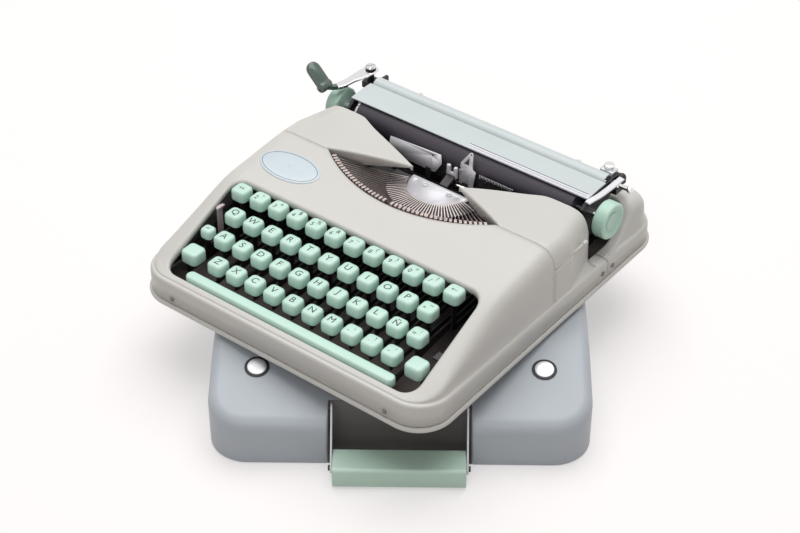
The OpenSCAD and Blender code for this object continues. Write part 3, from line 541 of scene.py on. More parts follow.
# Front housing: skirt and sides, deck between the outer edge and the keyboard opening, rolled rim
TOP_INSET = 9.0
ROLL = 2.6
RIM_DEPTH = 5.5
RIM_LOW = 14.0
CORNER_SPLIT = SIDE_STEPS - 1 + CORNER_STEPS // 2
WELL_X = 130.0
WELL_Y = SHELL_Y + 43
WELL_R = 10.0
WELL_ROLL = 2.4
WELL_DEPTH = 12.0
SHELF_LOW = 14.0


def opening(grow):
    """Four runs of the keyboard opening, split at the middle of its corners: right, front, left, back."""
    r = OPEN_R + grow
    hx = OPEN_X + grow - r
    y0, y1 = OPEN_FRONT - grow + r, OPEN_BACK + grow - r
    right = arc(hx, y1, r, 45, 0, 6) + arc(hx, y0, r, 0, -45, 6)
    front = arc(hx, y0, r, -45, -90, 6) + arc(-hx, y0, r, -90, -135, 6)
    back = arc(-hx, y1, r, 135, 90, 6) + arc(hx, y1, r, 90, 45, 6)
    return [right, front, flipped(right), back]


def rear_edge():
    """Rear edge of the deck from left to right: seam, arc of the type basket, seam."""
    x_out = HALF_W - TOP_INSET
    half = degrees(asin(BASKET_X / BASKET_R))
    bow = arc(0, BASKET_Y, BASKET_R, -90 - half, -90 + half, 61)
    xs = [*np.linspace(x_out, x_out - 10, 11)[:-1], *np.linspace(x_out - 10, BASKET_X, 10)[:-1]]
    seam = [(-x, SEAM_Y) for x in xs]
    return seam + bow + flipped(seam)


def front_housing_part():
    front = lambda inset: end_path(inset, SEAM_Y, -1)
    sides = skin(side_levels(DECK, front, TOP_INSET))
    runs = end_runs(front(TOP_INSET)) + [rear_edge()]
    outer, inner, edge = matched(runs, opening(ROLL), opening(0), closed=True)
    rings = top_rings(outer, inner, np.linspace(0, 1, 20))
    starts = [p[2] for p in rings[-1]]
    rings += rolled_rings(inner, edge, starts, ROLL, 7)
    for t in (0.3, 1.0):
        rings.append([(e[0], e[1], z - ROLL - t * max(0.5, min(RIM_DEPTH - ROLL, z - ROLL - RIM_LOW)))
                      for e, z in zip(edge, starts)])
    flank = joined(flank_wall(), rear_shelf(COVER_BACK, SHELL_Y - GAP / 2))
    return joined(sides, skin(rings, closed=True), paired(flank))


def skirt_rows(ys):
    return [[(HALF_W - inset, y, skirt_z(y, drop)) for y in ys] for inset, drop in SKIRT]


def flank_wall():
    """Side wall under a ribbon cover, up to the cover's lower seam."""
    ys = np.linspace(COVER_BACK, SEAM_Y, 14)
    rows = skirt_rows(ys)
    for t in np.linspace(0, 1, 16)[1:]:
        row = []
        for y in ys:
            rise = soft_height(y, DECK) - ledge(y)
            share = (SEAM_Z - ledge(y)) / rise * t ** 2
            reach = drawn(y) * min(1.0, t / 0.3)
            row.append((HALF_W - inset_at(share) - reach, y, ledge(y) + share * rise))
        rows.append(row)
    return skin(rows)


def rear_shelf(y0, y1):
    """Low side of the housing beside the carriage well, with its turned-down inner edge."""
    ys = np.linspace(y1, y0, 6)
    rows = skirt_rows(ys)
    top = HALF_W - WELL_X - WELL_ROLL
    for inset in side_insets(top):
        rows.append([(HALF_W - inset, y, surface_z(HALF_W - inset, y, REAR, rear=True)) for y in ys])
    for a in quarter(5)[1:]:
        rows.append([(WELL_X + WELL_ROLL * (1 - sin(a)), y,
                      surface_z(WELL_X, y, REAR, rear=True) - WELL_ROLL * (1 - cos(a))) for y in ys])
    rows.append([(WELL_X, y, SHELF_LOW) for y in ys])
    return skin(rows)


build("housing_front", front_housing_part(), HOUSING, replaces="front_housing", flip=True, sheet=SHEET,
      edge=0.35)


# Rear shell: low sides beside the carriage, hump behind it, rolled edge round the carriage well
def well_edge(grow):
    """Three runs of the well's edge, split at the middle of its corners: right, rear, left."""
    r = WELL_R + grow
    x, y = WELL_X + grow - r, WELL_Y + grow - r
    right = [(WELL_X + grow, SHELL_Y + GAP / 2)] + arc(x, y, r, 0, 45, 7)
    rear = arc(x, y, r, 45, 90, 7) + arc(-x, y, r, 90, 135, 7)
    return [right, rear, flipped(right)]


def rear_shell_part():
    path = lambda inset: end_path(inset, SHELL_Y + GAP / 2, 1)
    runs = end_runs(path(TOP_INSET))
    outer, inner, edge = matched(runs, well_edge(WELL_ROLL), well_edge(0), closed=False)
    rings = side_levels(REAR, path, TOP_INSET, rear=True)
    rings += top_rings(outer, inner, np.linspace(0, 1, 16)[1:], REAR, rear=True)
    tops = [q[2] for q in rings[-1]]
    rings += rolled_rings(inner, edge, tops, WELL_ROLL, 6)
    rings.append([(e[0], e[1], max(SHELF_LOW, z - WELL_DEPTH)) for e, z in zip(edge, tops)])
    return skin(rings)


build("housing_rear", rear_shell_part(), HOUSING, replaces="rear_shell", sheet=SHEET, edge=0.35)


# Base: lip all round, floor of the key well, dark joint between lip and skirt
LIP = [(6.0, 0), (1.6, 0), (0.6, 0.3), (0.12, 0.9), (0, 1.7), (0.06, 2.7), (0.4, 3.5), (1.1, 3.92),
       (2.0, 4.0), (6.0, 4.0)]
JOINT = [(2.7, 3.9), (2.7, 6.0), (5.5, 6.0), (5.5, 3.9)]
FLOOR_TOP = 1.8


def outline(inset):
    return rounded_rect(HALF_W - inset, HALF_D - inset, CORNER_R - inset, 14)


def rim(profile):
    """Closed band that follows the base outline; the profile holds (inset, z)."""
    rings = [[(x, y, z) for x, y in outline(inset)] for inset, z in profile]
    return skin(rings + rings[:1], closed=True)


build("base_lip", rim(LIP), HOUSING, replaces="base_pan", crease=50)
build("base_joint", rim(JOINT), GROOVE)
build("well_floor", plate(outline(5.8), 0.1, FLOOR_TOP), FLOOR_FELT)


# Ribbon covers: side and top in one sheet, a wing that falls to its tip, a turned-down wall under the wing
WING_X = 86.0
TIP = (22.5, 42.5, 59.2)
SIDE_TOP = HALF_W - SIDE[-1][0]
FALL_X = 90.0
SHOULDER_X = 86.5
SHOULDER_SOFT = 4.6
TAIL_SLOPE = 0.27
COVER_ROLL = 1.8
SEAM_ROLL = 0.45
COVER_EDGE = 0.6
WALL_LOW = (55.0, 57.8)
COVER_LIP = 4.0
SEAM_LIP = 2.2
COVER_SHEET = 1.4
HINGE_X = HALF_W - 8.4
BARREL = (SEAM_Y + 11.3, SEAM_Y + 21)


def cover_front(x):
    """Front edge of the cover: the seam, then the wing's straight edge to the tip."""
    share = max(0.0, (WING_X - x) / (WING_X - TIP[0]))
    return SEAM_Y + SEAM_GAP + share * (TIP[1] - SEAM_Y - SEAM_GAP)


def cover_rear(x):
    """Rear edge: straight beside the platen, a soft shoulder, then straight to the tip."""
    slope = TIP[1] + (x - TIP[0]) * TAIL_SLOPE
    step = 1 / (1 + exp(-(x - SHOULDER_X) / SHOULDER_SOFT))
    return slope + (COVER_BACK - GAP - slope) * step


def cover_z(x, y):
    """Height of a cover, which falls from the deck to its tip."""
    share = clamped((FALL_X - x) / (FALL_X - TIP[0]))
    fall = surface_z(TIP[0], TIP[1]) - TIP[2]
    return surface_z(x, y) - fall * share ** 1.6


def cover_part():
    """The right cover, in columns from its front edge to its rear edge."""
    low = HALF_W - inset_at((SEAM_Z + GAP - ledge(SEAM_Y)) / (soft_height(SEAM_Y, DECK) - ledge(SEAM_Y)))
    side = [low - (low - SIDE_TOP) * t for t in np.linspace(0, 1, 26) ** 1.7]
    top = [*np.linspace(SIDE_TOP, WING_X, 14)[1:], *np.linspace(WING_X, TIP[0] + 0.8, 40)[1:]]
    columns = []
    for x in side + top:
        y0, y1 = cover_front(x), cover_rear(x)
        width = y1 - y0
        roll = min(float(np.interp(x, [WING_X - 4, WING_X + 4], [COVER_ROLL, SEAM_ROLL])), 0.45 * width)
        back = min(COVER_EDGE, 0.2 * width)
        column = []
        for y in np.linspace(y0 + roll, y1 - back, 22):
            near = x - drawn(y) * clamped((x - WING_X) / (SIDE_TOP - WING_X))
            column.append((near, y, max(cover_z(near, y), SEAM_Z + GAP)))
        edge_x, edge_z = column[-1][0], column[-1][2]
        column += [(edge_x, y1 - back / 4, edge_z - 0.18), (edge_x, y1, edge_z - 0.7),
                   (edge_x, y1, edge_z - COVER_LIP)]
        z = cover_z(x, y0 + roll)
        rise = clamped((WING_X - x) / (WING_X - TIP[0]))
        drop = WALL_LOW[0] + rise * (WALL_LOW[1] - WALL_LOW[0]) if x < WING_X else z - SEAM_LIP
        lead = [(x, y0 + roll * (1 - sin(a)), z - roll * (1 - cos(a))) for a in quarter(6)]
        foot = max(min(drop, z - roll - 0.3), SEAM_Z + GAP)
        columns.append([(x, y0, foot)] + list(reversed(lead[1:])) + column)
    return skin(columns)


def hinge_barrel():
    """Hinge barrel of the right cover with its tab."""
    line = [(HINGE_X, y, SEAM_Z) for y in np.linspace(*BARREL, 3)]
    return joined(tube(line, 1.6, 16), block(HINGE_X - 2, HINGE_X - 0.2, *BARREL, SEAM_Z, SEAM_Z + 5))


for side in ("right", "left"):
    sheet_part, barrel = cover_part(), hinge_barrel()
    if side == "left":
        sheet_part, barrel = mirrored(sheet_part), mirrored(barrel)
    body = "cover_" + side
    build("ribbon_cover_" + side, sheet_part, HOUSING, body, replaces=body, sheet=COVER_SHEET, edge=0.3,
          crease=50)
    build("cover_barrel_" + side, barrel, STEEL, body)


# Keys: caps with upright sides and a soft crowned edge, legends on the tops, levers for the single keys
CAP_W = 14.5
CAP_H = 9.5
CAP_R = 4.2
CAP_EDGE = [(0.1, -2.6), (0.35, -1.5), (0.9, -0.7), (1.7, -0.25), (2.6, -0.08), (4.5, 0)]
PITCH = 19.0
SHAFT = (0.0, 30.0)
LEVER_T = 1.5
LEVER_W = 5.0
LEVER_HIGH = 26.0
KEY_ROWS = {
    "number_row": (-109.0, -HALF_D + 92.2, 62.8, [None, *"234567890/", None]),
    "q_row": (-99.5, -HALF_D + 72.9, 54.3, [*"QWERTYUIOP", "^"]),
    "a_row": (-94.0, -HALF_D + 53.3, 45.4, [*"ASDFGHJKL\u00d1", "="]),
    "z_row": (-84.0, -HALF_D + 34.3, 36.5, [*"ZXCVBNM,.", "-"])}
UPPER_SIGNS = dict(zip("234567890/^=,.-", "\"+$%&_()*?~:;!'"))
STRIKE_KEY = 5
LETTER_SIZE = 8.432
SIGN_SIZE = 6.11
UPPER_SIZE = 5.64


def stacked(profile, x, y, z, width, depth, radius, steps):
    """Rounded block with its top at z; the profile holds (inset, height over the top) from the foot up."""
    rings = []
    for inset, level in profile:
        loop = rounded_rect(width / 2 - inset, depth / 2 - inset, max(radius - inset, 1.1), steps)
        rings.append([(x + a, y + b, z + level) for a, b in loop])
    return lofted(rings)


def cap_part(x, y, z, width=CAP_W, depth=CAP_W, height=CAP_H, radius=CAP_R):
    foot = [(0.5, -height), (0.15, 0.3 - height), (0, 0.9 - height)]
    return stacked(foot + CAP_EDGE, x, y, z, width, depth, radius, 7)


def lever_part(x, y, z_low, z_cap):
    """Flat lever from the shaft to a key, with the upright end that carries the cap."""
    run = Vector((y - SHAFT[0], z_low - SHAFT[1]))
    across = Vector((-run.y, run.x)).normalized() * LEVER_W / 2
    a, b = Vector(SHAFT), Vector((y, z_low))
    bar = [a - across, b - across, b + across, a + across]
    front, back = y - LEVER_W / 2, y + LEVER_W / 2
    post = [(front, z_low - 2), (back, z_low - 2), (back, z_cap), (front, z_cap)]
    hub = circle(*SHAFT, LEVER_W, 24)
    half = LEVER_T / 2
    return joined(*(swept_x([tuple(q) for q in shape], x - half, x + half) for shape in (bar, post, hub)))


def lever_height(z):
    """Height of a lever's end under a cap whose top is at z."""
    return min(LEVER_HIGH, z - CAP_H - 6)


def letters(text, size, x, y, z):
    """A few characters of the built-in font as a thin layer on a key top."""
    curve = bpy.data.curves.new("letters", "FONT")
    curve.body = text
    curve.size = size
    curve.align_x = "CENTER"
    curve.align_y = "CENTER"
    curve.resolution_u = 4
    curve.extrude = 0.06
    holder = bpy.data.objects.new("letters", curve)
    mesh = bpy.data.meshes.new_from_object(holder)
    centre = Vector([(min(values) + max(values)) / 2 for values in zip(*(v.co for v in mesh.vertices))])
    points = [tuple(v.co - centre + Vector((x, y, z))) for v in mesh.vertices]
    faces = [tuple(f.vertices) for f in mesh.polygons]
    bpy.data.meshes.remove(mesh)
    bpy.data.objects.remove(holder)
    bpy.data.curves.remove(curve)
    return points, faces


def arrow(x, y, z, both):
    """Thin arrow to the left, or to both sides."""
    tip, head, half = 2.5, 1.5, 0.22
    shaft = [(-tip, -half), (tip, -half), (tip, half), (-tip, half)]
    barb = [(tip, 0), (tip - head, head * 0.75), (tip - head - 0.55, head * 0.75), (tip - 0.6, 0)]
    shapes = [shaft]
    for s in (-1, 1) if both else (-1,):
        shapes += [[(s * a, k * b) for a, b in barb] for k in (-1, 1)]
    return joined(*(plate([(x + a, y + b) for a, b in shape], z - 0.05, z + 0.06) for shape in shapes))


def legend(text, x, y, z):
    """Marks on a key top: a letter, or a sign with a second one over it."""
    if text.isalpha():
        return letters(text, LETTER_SIZE, x, y, z)
    return joined(letters(text, SIGN_SIZE, x - 1.9, y - 1.9, z),
                  letters(UPPER_SIGNS[text], UPPER_SIZE, x + 2.0, y + 2.2, z))


def single_key(name, cap, lever, body, marks=None):
    """Cap, lever and legend of a key with a motion of its own."""
    build(name + "_cap", cap, MINT, body, replaces=body, crease=50)
    build(name + "_lever", lever, DARK_STEEL, body, crease=30)
    if marks:
        build(name + "_legend", marks, LEGEND, body)


for row, (first_x, y, z, texts) in KEY_ROWS.items():
    caps, marks = [], []
    for k, text in enumerate(texts):
        x = first_x + PITCH * k
        cap = cap_part(x, y, z)
        lever = lever_part(x, y, lever_height(z), z - CAP_H + 0.5)
        if text is None:
            name = "margin_release_key" if k == 0 else "backspace_key"
            single_key(name, cap, lever, name, arrow(x, y, z, both=k == 0))
        elif row == "a_row" and k == STRIKE_KEY:
            single_key("strike_key", cap, lever, "strike_key", legend(text, x, y, z))
        else:
            caps.append(cap)
            marks.append(legend(text, x, y, z))
    build(row + "_keytops", joined(*caps), MINT, row, replaces=row + "_caps", crease=50)
    build(row + "_legends", joined(*marks), LEGEND, row)

Z_ROW_Y, Z_ROW_Z = KEY_ROWS["z_row"][1:3]
A_ROW_Y, A_ROW_Z = KEY_ROWS["a_row"][1:3]
SHIFT_X = 110.0
SHIFT_LEVER_X = 116.0
LOCK_LEVER_X = 112.5


def side_lever(x_cap, x_lever, y, z, z_cap):
    """Lever beside its cap, with a short bar across to it."""
    cross = block(min(x_cap, x_lever) - 0.75, max(x_cap, x_lever) + 0.75, y - 2, y + 2, z_cap - 3, z_cap)
    return joined(lever_part(x_lever, y, lever_height(z), z_cap), cross)


shift_cap = cap_part(SHIFT_X, Z_ROW_Y, Z_ROW_Z, CAP_W + 1.5, CAP_W + 1, CAP_H + 1)
shift_lever = side_lever(SHIFT_X, SHIFT_LEVER_X, Z_ROW_Y, Z_ROW_Z, Z_ROW_Z - CAP_H - 1)
single_key("shift", paired(shift_cap), paired(shift_lever), "shift_keys")
single_key("shift_lock", cap_part(-SHIFT_X - 1, A_ROW_Y, A_ROW_Z, CAP_W - 3.5, CAP_W - 4, CAP_H - 1.5, 3.6),
           side_lever(-SHIFT_X - 1, -LOCK_LEVER_X, A_ROW_Y, A_ROW_Z, A_ROW_Z - CAP_H + 1.5), "shift_lock_key")

SPACE_HALF = 101.5
SPACE_DEEP = 9.4
SPACE_R = 4.4
SPACE_H = 8.0
SPACE_Y = -HALF_D + 17.7
SPACE_TOP = 28.0
SPACE_ARMS = (-87.0, 93.2)
SPACE_ARM_Z = 13.0
space_profile = [(0.7, -SPACE_H), (0.2, 0.3 - SPACE_H), (0, 1 - SPACE_H), (0, -1.6), (0.3, -0.8), (0.8, -0.3),
                 (1.5, -0.06), (2.4, 0)]
space_bar = stacked(space_profile, 0, SPACE_Y, SPACE_TOP, 2 * SPACE_HALF, SPACE_DEEP, SPACE_R, 10)
space_arms = [lever_part(x, SPACE_Y, SPACE_ARM_Z, SPACE_TOP - SPACE_H + 0.5) for x in SPACE_ARMS]
single_key("space_bar", space_bar, joined(*space_arms), "space_bar")


# Carrying lid: pressed wall, rounded top edge, a top that falls to the front, handle recess, button holes
LID_H = 58.0
LID_DROP = 18.0
LID_SLOPE = 80.0
LID_ROUND = 9.0
RECESS_X = 54.0
RECESS_Y = -HALF_D + 22
RECESS_R = 2.0
BUTTON = (HALF_W - 36, 51 - HALF_D)
BUTTON_HOLE = 8.5
LID_FOOT = [(1.6, 0), (0.6, 0.25), (0.12, 0.8), (0, 1.8)]


def lid_top(y):
    """Height of the lid's top, level at the back and falling to the front over a soft bend."""
    falls = [max(0.0, LID_SLOPE - HALF_D - q) for q in np.linspace(y - SOFT, y + SOFT, 9)]
    return LID_H - LID_DROP * float(np.mean(falls)) / LID_SLOPE


def lid_rows(path):
    """Rings from the bottom edge to the top surface along a path that depends on the inset."""
    rows = [[(x, y, z) for x, y in path(inset)] for inset, z in LID_FOOT]
    foot = LID_FOOT[-1][1]
    for t in np.linspace(0, 1, 7)[1:]:
        rows.append([(x, y, foot + t * (lid_top(y) - LID_ROUND - foot)) for x, y in path(0)])
    for a in quarter(12)[1:]:
        inset = LID_ROUND * (1 - cos(a))
        rows.append([(x, y, lid_top(y) - LID_ROUND * (1 - sin(a))) for x, y in path(inset)])
    return rows


def lid_outline(inset):
    """Open outline from the right edge of the recess round the lid to its left edge."""
    r, front = CORNER_R - inset, -HALF_D + inset
    right = arc(RECESS_X + RECESS_R, front + RECESS_R, RECESS_R, 180, 270, 5)
    right += arc(CORNER_X, -CORNER_Y, r, -90, 0, 16)
    right += [(HALF_W - inset, y) for y in np.linspace(-CORNER_Y, CORNER_Y, 40)[1:-1]]
    right += arc(CORNER_X, CORNER_Y, r, 0, 90, 16)
    return right + flipped(right)


def filled(loops, height, cuts):
    """Triangles between closed loops, the first one outside, cut at the given Y and lifted to a height."""
    mesh = bmesh.new()
    for loop in loops:
        corners = [mesh.verts.new((x, y, 0)) for x, y in loop]
        for a, b in zip(corners, corners[1:] + corners[:1]):
            mesh.edges.new((a, b))
    bmesh.ops.triangle_fill(mesh, edges=mesh.edges, use_beauty=True, normal=(0, 0, 1))
    for y in cuts:
        bmesh.ops.bisect_plane(mesh, geom=mesh.verts[:] + mesh.edges[:] + mesh.faces[:], plane_co=(0, y, 0),
                               plane_no=(0, 1, 0))
    mesh.verts.index_update()
    points = [(v.co.x, v.co.y, height(v.co.y)) for v in mesh.verts]
    faces = [tuple(v.index for v in f.verts) for f in mesh.faces]
    mesh.free()
    return points, faces


def lid_part():
    edge = lid_outline(LID_ROUND) + [(-RECESS_X, RECESS_Y), (RECESS_X, RECESS_Y)]
    holes = [circle(s * BUTTON[0], BUTTON[1], BUTTON_HOLE, 36) for s in (1, -1)]
    bend = LID_SLOPE - HALF_D
    top = filled([edge] + holes, lid_top, np.linspace(bend - 10, bend + 10, 9))
    return joined(skin(lid_rows(lid_outline)), top)


def recess_part():
    """Lining of the handle recess with its floor, open to the front and the top, in a dark grey that is
    painted shade.
    """
    def path(inset):
        front = -HALF_D + inset + RECESS_R
        right = [(RECESS_X, y) for y in np.linspace(RECESS_Y, front, 8)]
        return flipped(right) + right
    floor = block(-RECESS_X, RECESS_X, 0.8 - HALF_D, RECESS_Y, 0.9, 1.3)
    return joined(skin(lid_rows(path)), floor)


build("lid_shell", lid_part(), LID_PAINT, "case_lid", LID, replaces="case_lid", crease=60)
build("lid_recess", recess_part(), RECESS_SHADE, "case_lid", LID, sheet=0.6, flip=True)


# Lid buttons, square to the slope, and the feet between base and lid
LEAN = atan2(LID_DROP, LID_SLOPE)
cap_rows = [(7.6, -4), (7.6, 0.7), (7.3, 1.3), (6.7, 1.6), (4.4, 1.75), (2.2, 1.8), (0.3, 1.8)]
ring_rows = [(8.0, -3), (9.2, 0.1), (9.6, 0.5), (9.3, 0.9), (8.3, 0.9), (8.0, 0.3)]


def on_slope(part, side):
    place = Matrix.Translation((side * BUTTON[0], BUTTON[1], lid_top(BUTTON[1])))
    return placed(part, place @ Matrix.Rotation(LEAN, 4, "X"))


for side, name in ((-1, "left"), (1, "right")):
    build("push_button_" + name, on_slope(turned(cap_rows, 40), side), ALLOY, "lid_button_" + name, LID,
          replaces="lid_button_" + name)
collars = [on_slope(turned(ring_rows, 40), side) for side in (-1, 1)]
build("button_collars", joined(*collars), INNER, "case_lid", LID, replaces="lid_button_rings")
FOOT_AT = (HALF_W - 85, HALF_D - 102)
foot_rows = [(7.2, 0), (7.2, -2.2), (6.6, -3)]
feet = [turned(foot_rows, 28, sx * FOOT_AT[0], sy * FOOT_AT[1]) for sx in (-1, 1) for sy in (-1, 1)]
build("feet", joined(*feet), FOOT, replaces="rubber_feet")


# Carrying handle: thin straps from their pivots in the recess to a flat grip, a rivet through each end
HANDLE_PIVOT = (RECESS_Y - 8, 44.0)
GRIP_MID = (-HALF_D - 14.5, 10.0)
GRIP_HALF = (12.2, 9.0)
GRIP_X = 49.8
STRAP_X = (50.2, 51.6)
STRAP_R = 4.2
RIVET_R = 2.2
RIVET_END = 53.2


def capsule(a, b, r):
    """Outline with round ends about two points."""
    turn = degrees(atan2(b[1] - a[1], b[0] - a[0]))
    return arc(*a, r, turn + 90, turn + 270, 14) + arc(*b, r, turn - 90, turn + 90, 14)


grip_profile = [(GRIP_MID[0] + y, GRIP_MID[1] + z) for y, z in rounded_rect(*GRIP_HALF, 2.8)]
build("grip_sleeve", swept_x(grip_profile, -GRIP_X, GRIP_X, 12), MINT_GRIP, "carry_handle", LID,
      replaces="handle_grip", edge=0.5)
strap = swept_x(capsule(HANDLE_PIVOT, GRIP_MID, STRAP_R), *STRAP_X)
build("strap_pair", paired(strap), PALE_ALLOY, "carry_handle", LID, replaces="handle_straps",
      slot="chrome", edge=0.3)
rivets = joined(*(swept_x(circle(*place, RIVET_R, 24), STRAP_X[1] - 0.2, RIVET_END)
                  for place in (HANDLE_PIVOT, GRIP_MID)))
build("strap_rivets", paired(rivets), DARK_STEEL, "carry_handle", LID, edge=0.3)


# Type basket: blades that fan from the segment, slugs, half-moon plate, guide, card plate, finger, scale
SEG_Y = PLATEN_Y - 37
BARS = 42
STRIKE_BAR = 20
SEG_HALF = 72.0
SLUG_HALF = 34.0
SEG_R = 45.0
SLUG_R = BASKET_R - 3
SEG_BORE = 21.0
RING_Z = (26.0, 43.0)
FIN_Z = (40.0, 47.6)
FIN_HALF = (0.16, 0.7)
BLADE_T = 0.8
BLADE_Z = (44.2, 47.8)
SHANK_T = 0.75
SHANK_Z = (44.6, 47.4)
SHANK_TIP = 1.2
SLUG_LONG = 2.0
SLUG_HIGH = 3.2
SLUG_T = 2.5
SLUG_Z = 52.0
ROW_Z = 65.4
PLATE_R = 28.0
PLATE_TOP = 45.2
PIN_HOLE = 0.9


def plank(a, b, low_high_a, low_high_b, thick):
    """Upright board between two plan points, with its own low and high edge at each end."""
    run = Vector((b[0] - a[0], b[1] - a[1])).normalized()
    side = Vector((-run.y, run.x)) * thick / 2
    points = []
    for (x, y), heights in ((a, low_high_a), (b, low_high_b)):
        points += [(x + k * side.x, y + k * side.y, z) for z in heights for k in (-1, 1)]
    return points, [(0, 1, 3, 2), (4, 6, 7, 5), (0, 4, 5, 1), (2, 3, 7, 6), (0, 2, 6, 4), (1, 5, 7, 3)]


def typebar(i, slug_z, straight=False):
    """Blade with its shank, and the slug, of one typebar."""
    share = (i - (BARS - 1) / 2) / ((BARS - 1) / 2)
    seg, slug = radians(SEG_HALF * share), radians(SLUG_HALF * share)
    along = (sin(seg), -cos(seg))
    at_radius = lambda r: (along[0] * r, SEG_Y + along[1] * r)
    end = (SLUG_R * sin(slug), BASKET_Y - SLUG_R * cos(slug))
    if straight:
        end = at_radius(SEG_Y - BASKET_Y + SLUG_R)
    start = at_radius(SEG_R - 0.4)
    run = Vector((end[0] - start[0], end[1] - start[1])).normalized()
    blade = plank(at_radius(PLATE_R + 0.3), at_radius(SEG_R), BLADE_Z, BLADE_Z, BLADE_T)
    shank = plank(start, end, SHANK_Z, (slug_z - SHANK_TIP, slug_z + SHANK_TIP), SHANK_T)
    ends = [(end[0] + k * run.x, end[1] + k * run.y) for k in (-SLUG_LONG, SLUG_LONG)]
    face = (slug_z - SLUG_HIGH, slug_z + SLUG_HIGH)
    return joined(blade, shank), plank(*ends, face, face, SLUG_T)


blades, slugs = zip(*(typebar(i, ROW_Z) for i in range(BARS) if i != STRIKE_BAR))
build("typebar_blades", joined(*blades), BAR_STEEL, replaces="typebars")
build("typebar_slugs", joined(*slugs), SLUG_STEEL, edge=0.3)
blade, slug = typebar(STRIKE_BAR, SLUG_Z, straight=True)
build("strike_blade", blade, BAR_STEEL, "strike_typebar", replaces="strike_typebar")
build("strike_slug", slug, SLUG_STEEL, "strike_typebar", edge=0.3)


def segment_part():
    """Half ring under the blades and the wedge-shaped fins between them."""
    ring = arc(0, SEG_Y, SEG_R, 180, 360, 48) + arc(0, SEG_Y, SEG_BORE, 360, 180, 48)
    start, (near, far) = PLATE_R + 0.6, FIN_HALF
    wedge = [(start, -near), (SEG_R, -far), (SEG_R, far), (start, near)]
    fins = []
    for i in range(BARS + 1):
        turn = radians(SEG_HALF * (i - BARS / 2) / ((BARS - 1) / 2))
        out, side = (sin(turn), -cos(turn)), (cos(turn), sin(turn))
        corners = [(r * out[0] + w * side[0], SEG_Y + r * out[1] + w * side[1]) for r, w in wedge]
        fins.append(plate(corners, *FIN_Z))
    return plate(ring, *RING_Z), joined(*fins)


ring, fins = segment_part()
build("segment_ring", ring, DARK_STEEL, replaces="type_segment")
build("segment_fins", fins, DARK_STEEL)


def screw_head(r, high, slot_turn):
    """Slotted head round the origin, standing up along Z: two halves of a low dome beside a narrow slot."""
    shape = arc(0, 0, r, 8, 172, 18)
    crown = [(x * 0.8, 0.2 + (y - 0.2) * 0.8) for x, y in shape]
    half = joined(plate(shape, 0, high * 0.75), plate(crown, high * 0.7, high))
    other = placed(half, Matrix.Rotation(pi, 4, "Z"))
    floor = plate(circle(0, 0, r * 0.95, 24), 0, high * 0.3)
    return placed(joined(half, other, floor), Matrix.Rotation(slot_turn, 4, "Z"))


def moved(part, x, y, z):
    return placed(part, Matrix.Translation((x, y, z)))


half_moon = arc(0, SEG_Y, PLATE_R, 180, 360, 60)
holes = [circle(s * 20, SEG_Y - 5, PIN_HOLE, 12) for s in (1, -1)]
build("half_moon_plate", filled([half_moon] + holes, lambda y: PLATE_TOP, []), PALE_ALLOY,
      replaces="segment_plate", sheet=2)
plate_screws = [moved(screw_head(2.6, 1.0, 0.5), s * 12, SEG_Y - 6, PLATE_TOP) for s in (1, -1)]
build("plate_screws", joined(*plate_screws), STEEL)

GUIDE_Y = PLATEN_Y - 21
stem = swept_x([(SEG_Y + 2, 34), (SEG_Y + 5, 34), (SEG_Y + 5, 44), (GUIDE_Y, 47), (GUIDE_Y, 49.5),
                (GUIDE_Y - 3, 49.5), (SEG_Y + 2, 45)], -4, 4)
build("guide_stem", stem, DARK_STEEL, replaces="type_guide", edge=0.4)
fork = joined(*(block(x0, x1, GUIDE_Y - 3, GUIDE_Y, z0, z1)
                for x0, x1, z0, z1 in ((-4.8, 4.8, 46.5, 51), (-4.8, -2, 51, 57.6), (2, 4.8, 51, 57.2))))
build("guide_fork", fork, PALE_ALLOY, edge=0.5)
CARD_LOW = 45
CARD_SHEET = 0.8


def leaned(loops, y0, lean):
    """Thin plate drawn in X and Z that leans back from the height CARD_LOW."""
    points, faces = filled(loops, lambda y: 0.0, [])
    return [(x, y0 + (z - CARD_LOW) * lean, z) for x, z, _ in points], faces


CARD_Y = 64.5
CARD_LEAN = 0.33
FINGER_Y = 65.2
FINGER_LEAN = 0.27
BRACKET_X = (-60, -24, 13, 48)
CARD = [(-66.5, 44), (-17.5, 44), (-12.9, 52.5), (-15.4, 59.2), (-66.5, 57)]
FINGER = [(6, 44), (20, 44), (20, 57), (16.8, 58.4), (16.1, 62), (14.9, 70), (13.7, 71.4), (11.9, 71),
          (4.8, 60.6), (4.6, 57.4), (6, 56)]
FINGER_HOLE = [(7.4, 60.2), (11.9, 66.4), (12.9, 60.4)]
card = leaned([CARD, circle(-22.8, 56, PIN_HOLE, 12)], CARD_Y, CARD_LEAN)
build("card_plate", card, PALE_ALLOY, replaces="card_holder", sheet=CARD_SHEET)
finger = leaned([FINGER, FINGER_HOLE, circle(13.1, 69.4, 0.75, 12)], FINGER_Y, FINGER_LEAN)
build("paper_finger", finger, PALE_ALLOY, sheet=CARD_SHEET)
brackets = joined(*(block(x - 2.5, x + 2.5, SEG_Y + 8, 65, 31, 34) for x in BRACKET_X),
                  *(block(x - 2.5, x + 2.5, 63.6, 64.4, 33, 46) for x in BRACKET_X[:3]))
build("card_brackets", brackets, DARK_STEEL)
build("feed_rod", tube([(4, 62.5, 42), (34, 65.5, 42)], 1.2), CHROME)
SCALE_Y = PLATEN_Y - 19.6
SCALE_X = (25, 58)
TICK_PITCH = 1.45
TICK_Z = (55.2, 57.1)
ticks = [block(x - 0.25, x + 0.25, SCALE_Y - 0.2, SCALE_Y + 0.6, TICK_Z[0] - 0.7 * (k % 5 == 0), TICK_Z[1])
         for k, x in enumerate(np.arange(*SCALE_X, TICK_PITCH))]
build("scale_ticks", joined(*ticks), SCALE_WHITE)
FACE_FRONT = Matrix.Rotation(pi / 2, 4, "X")
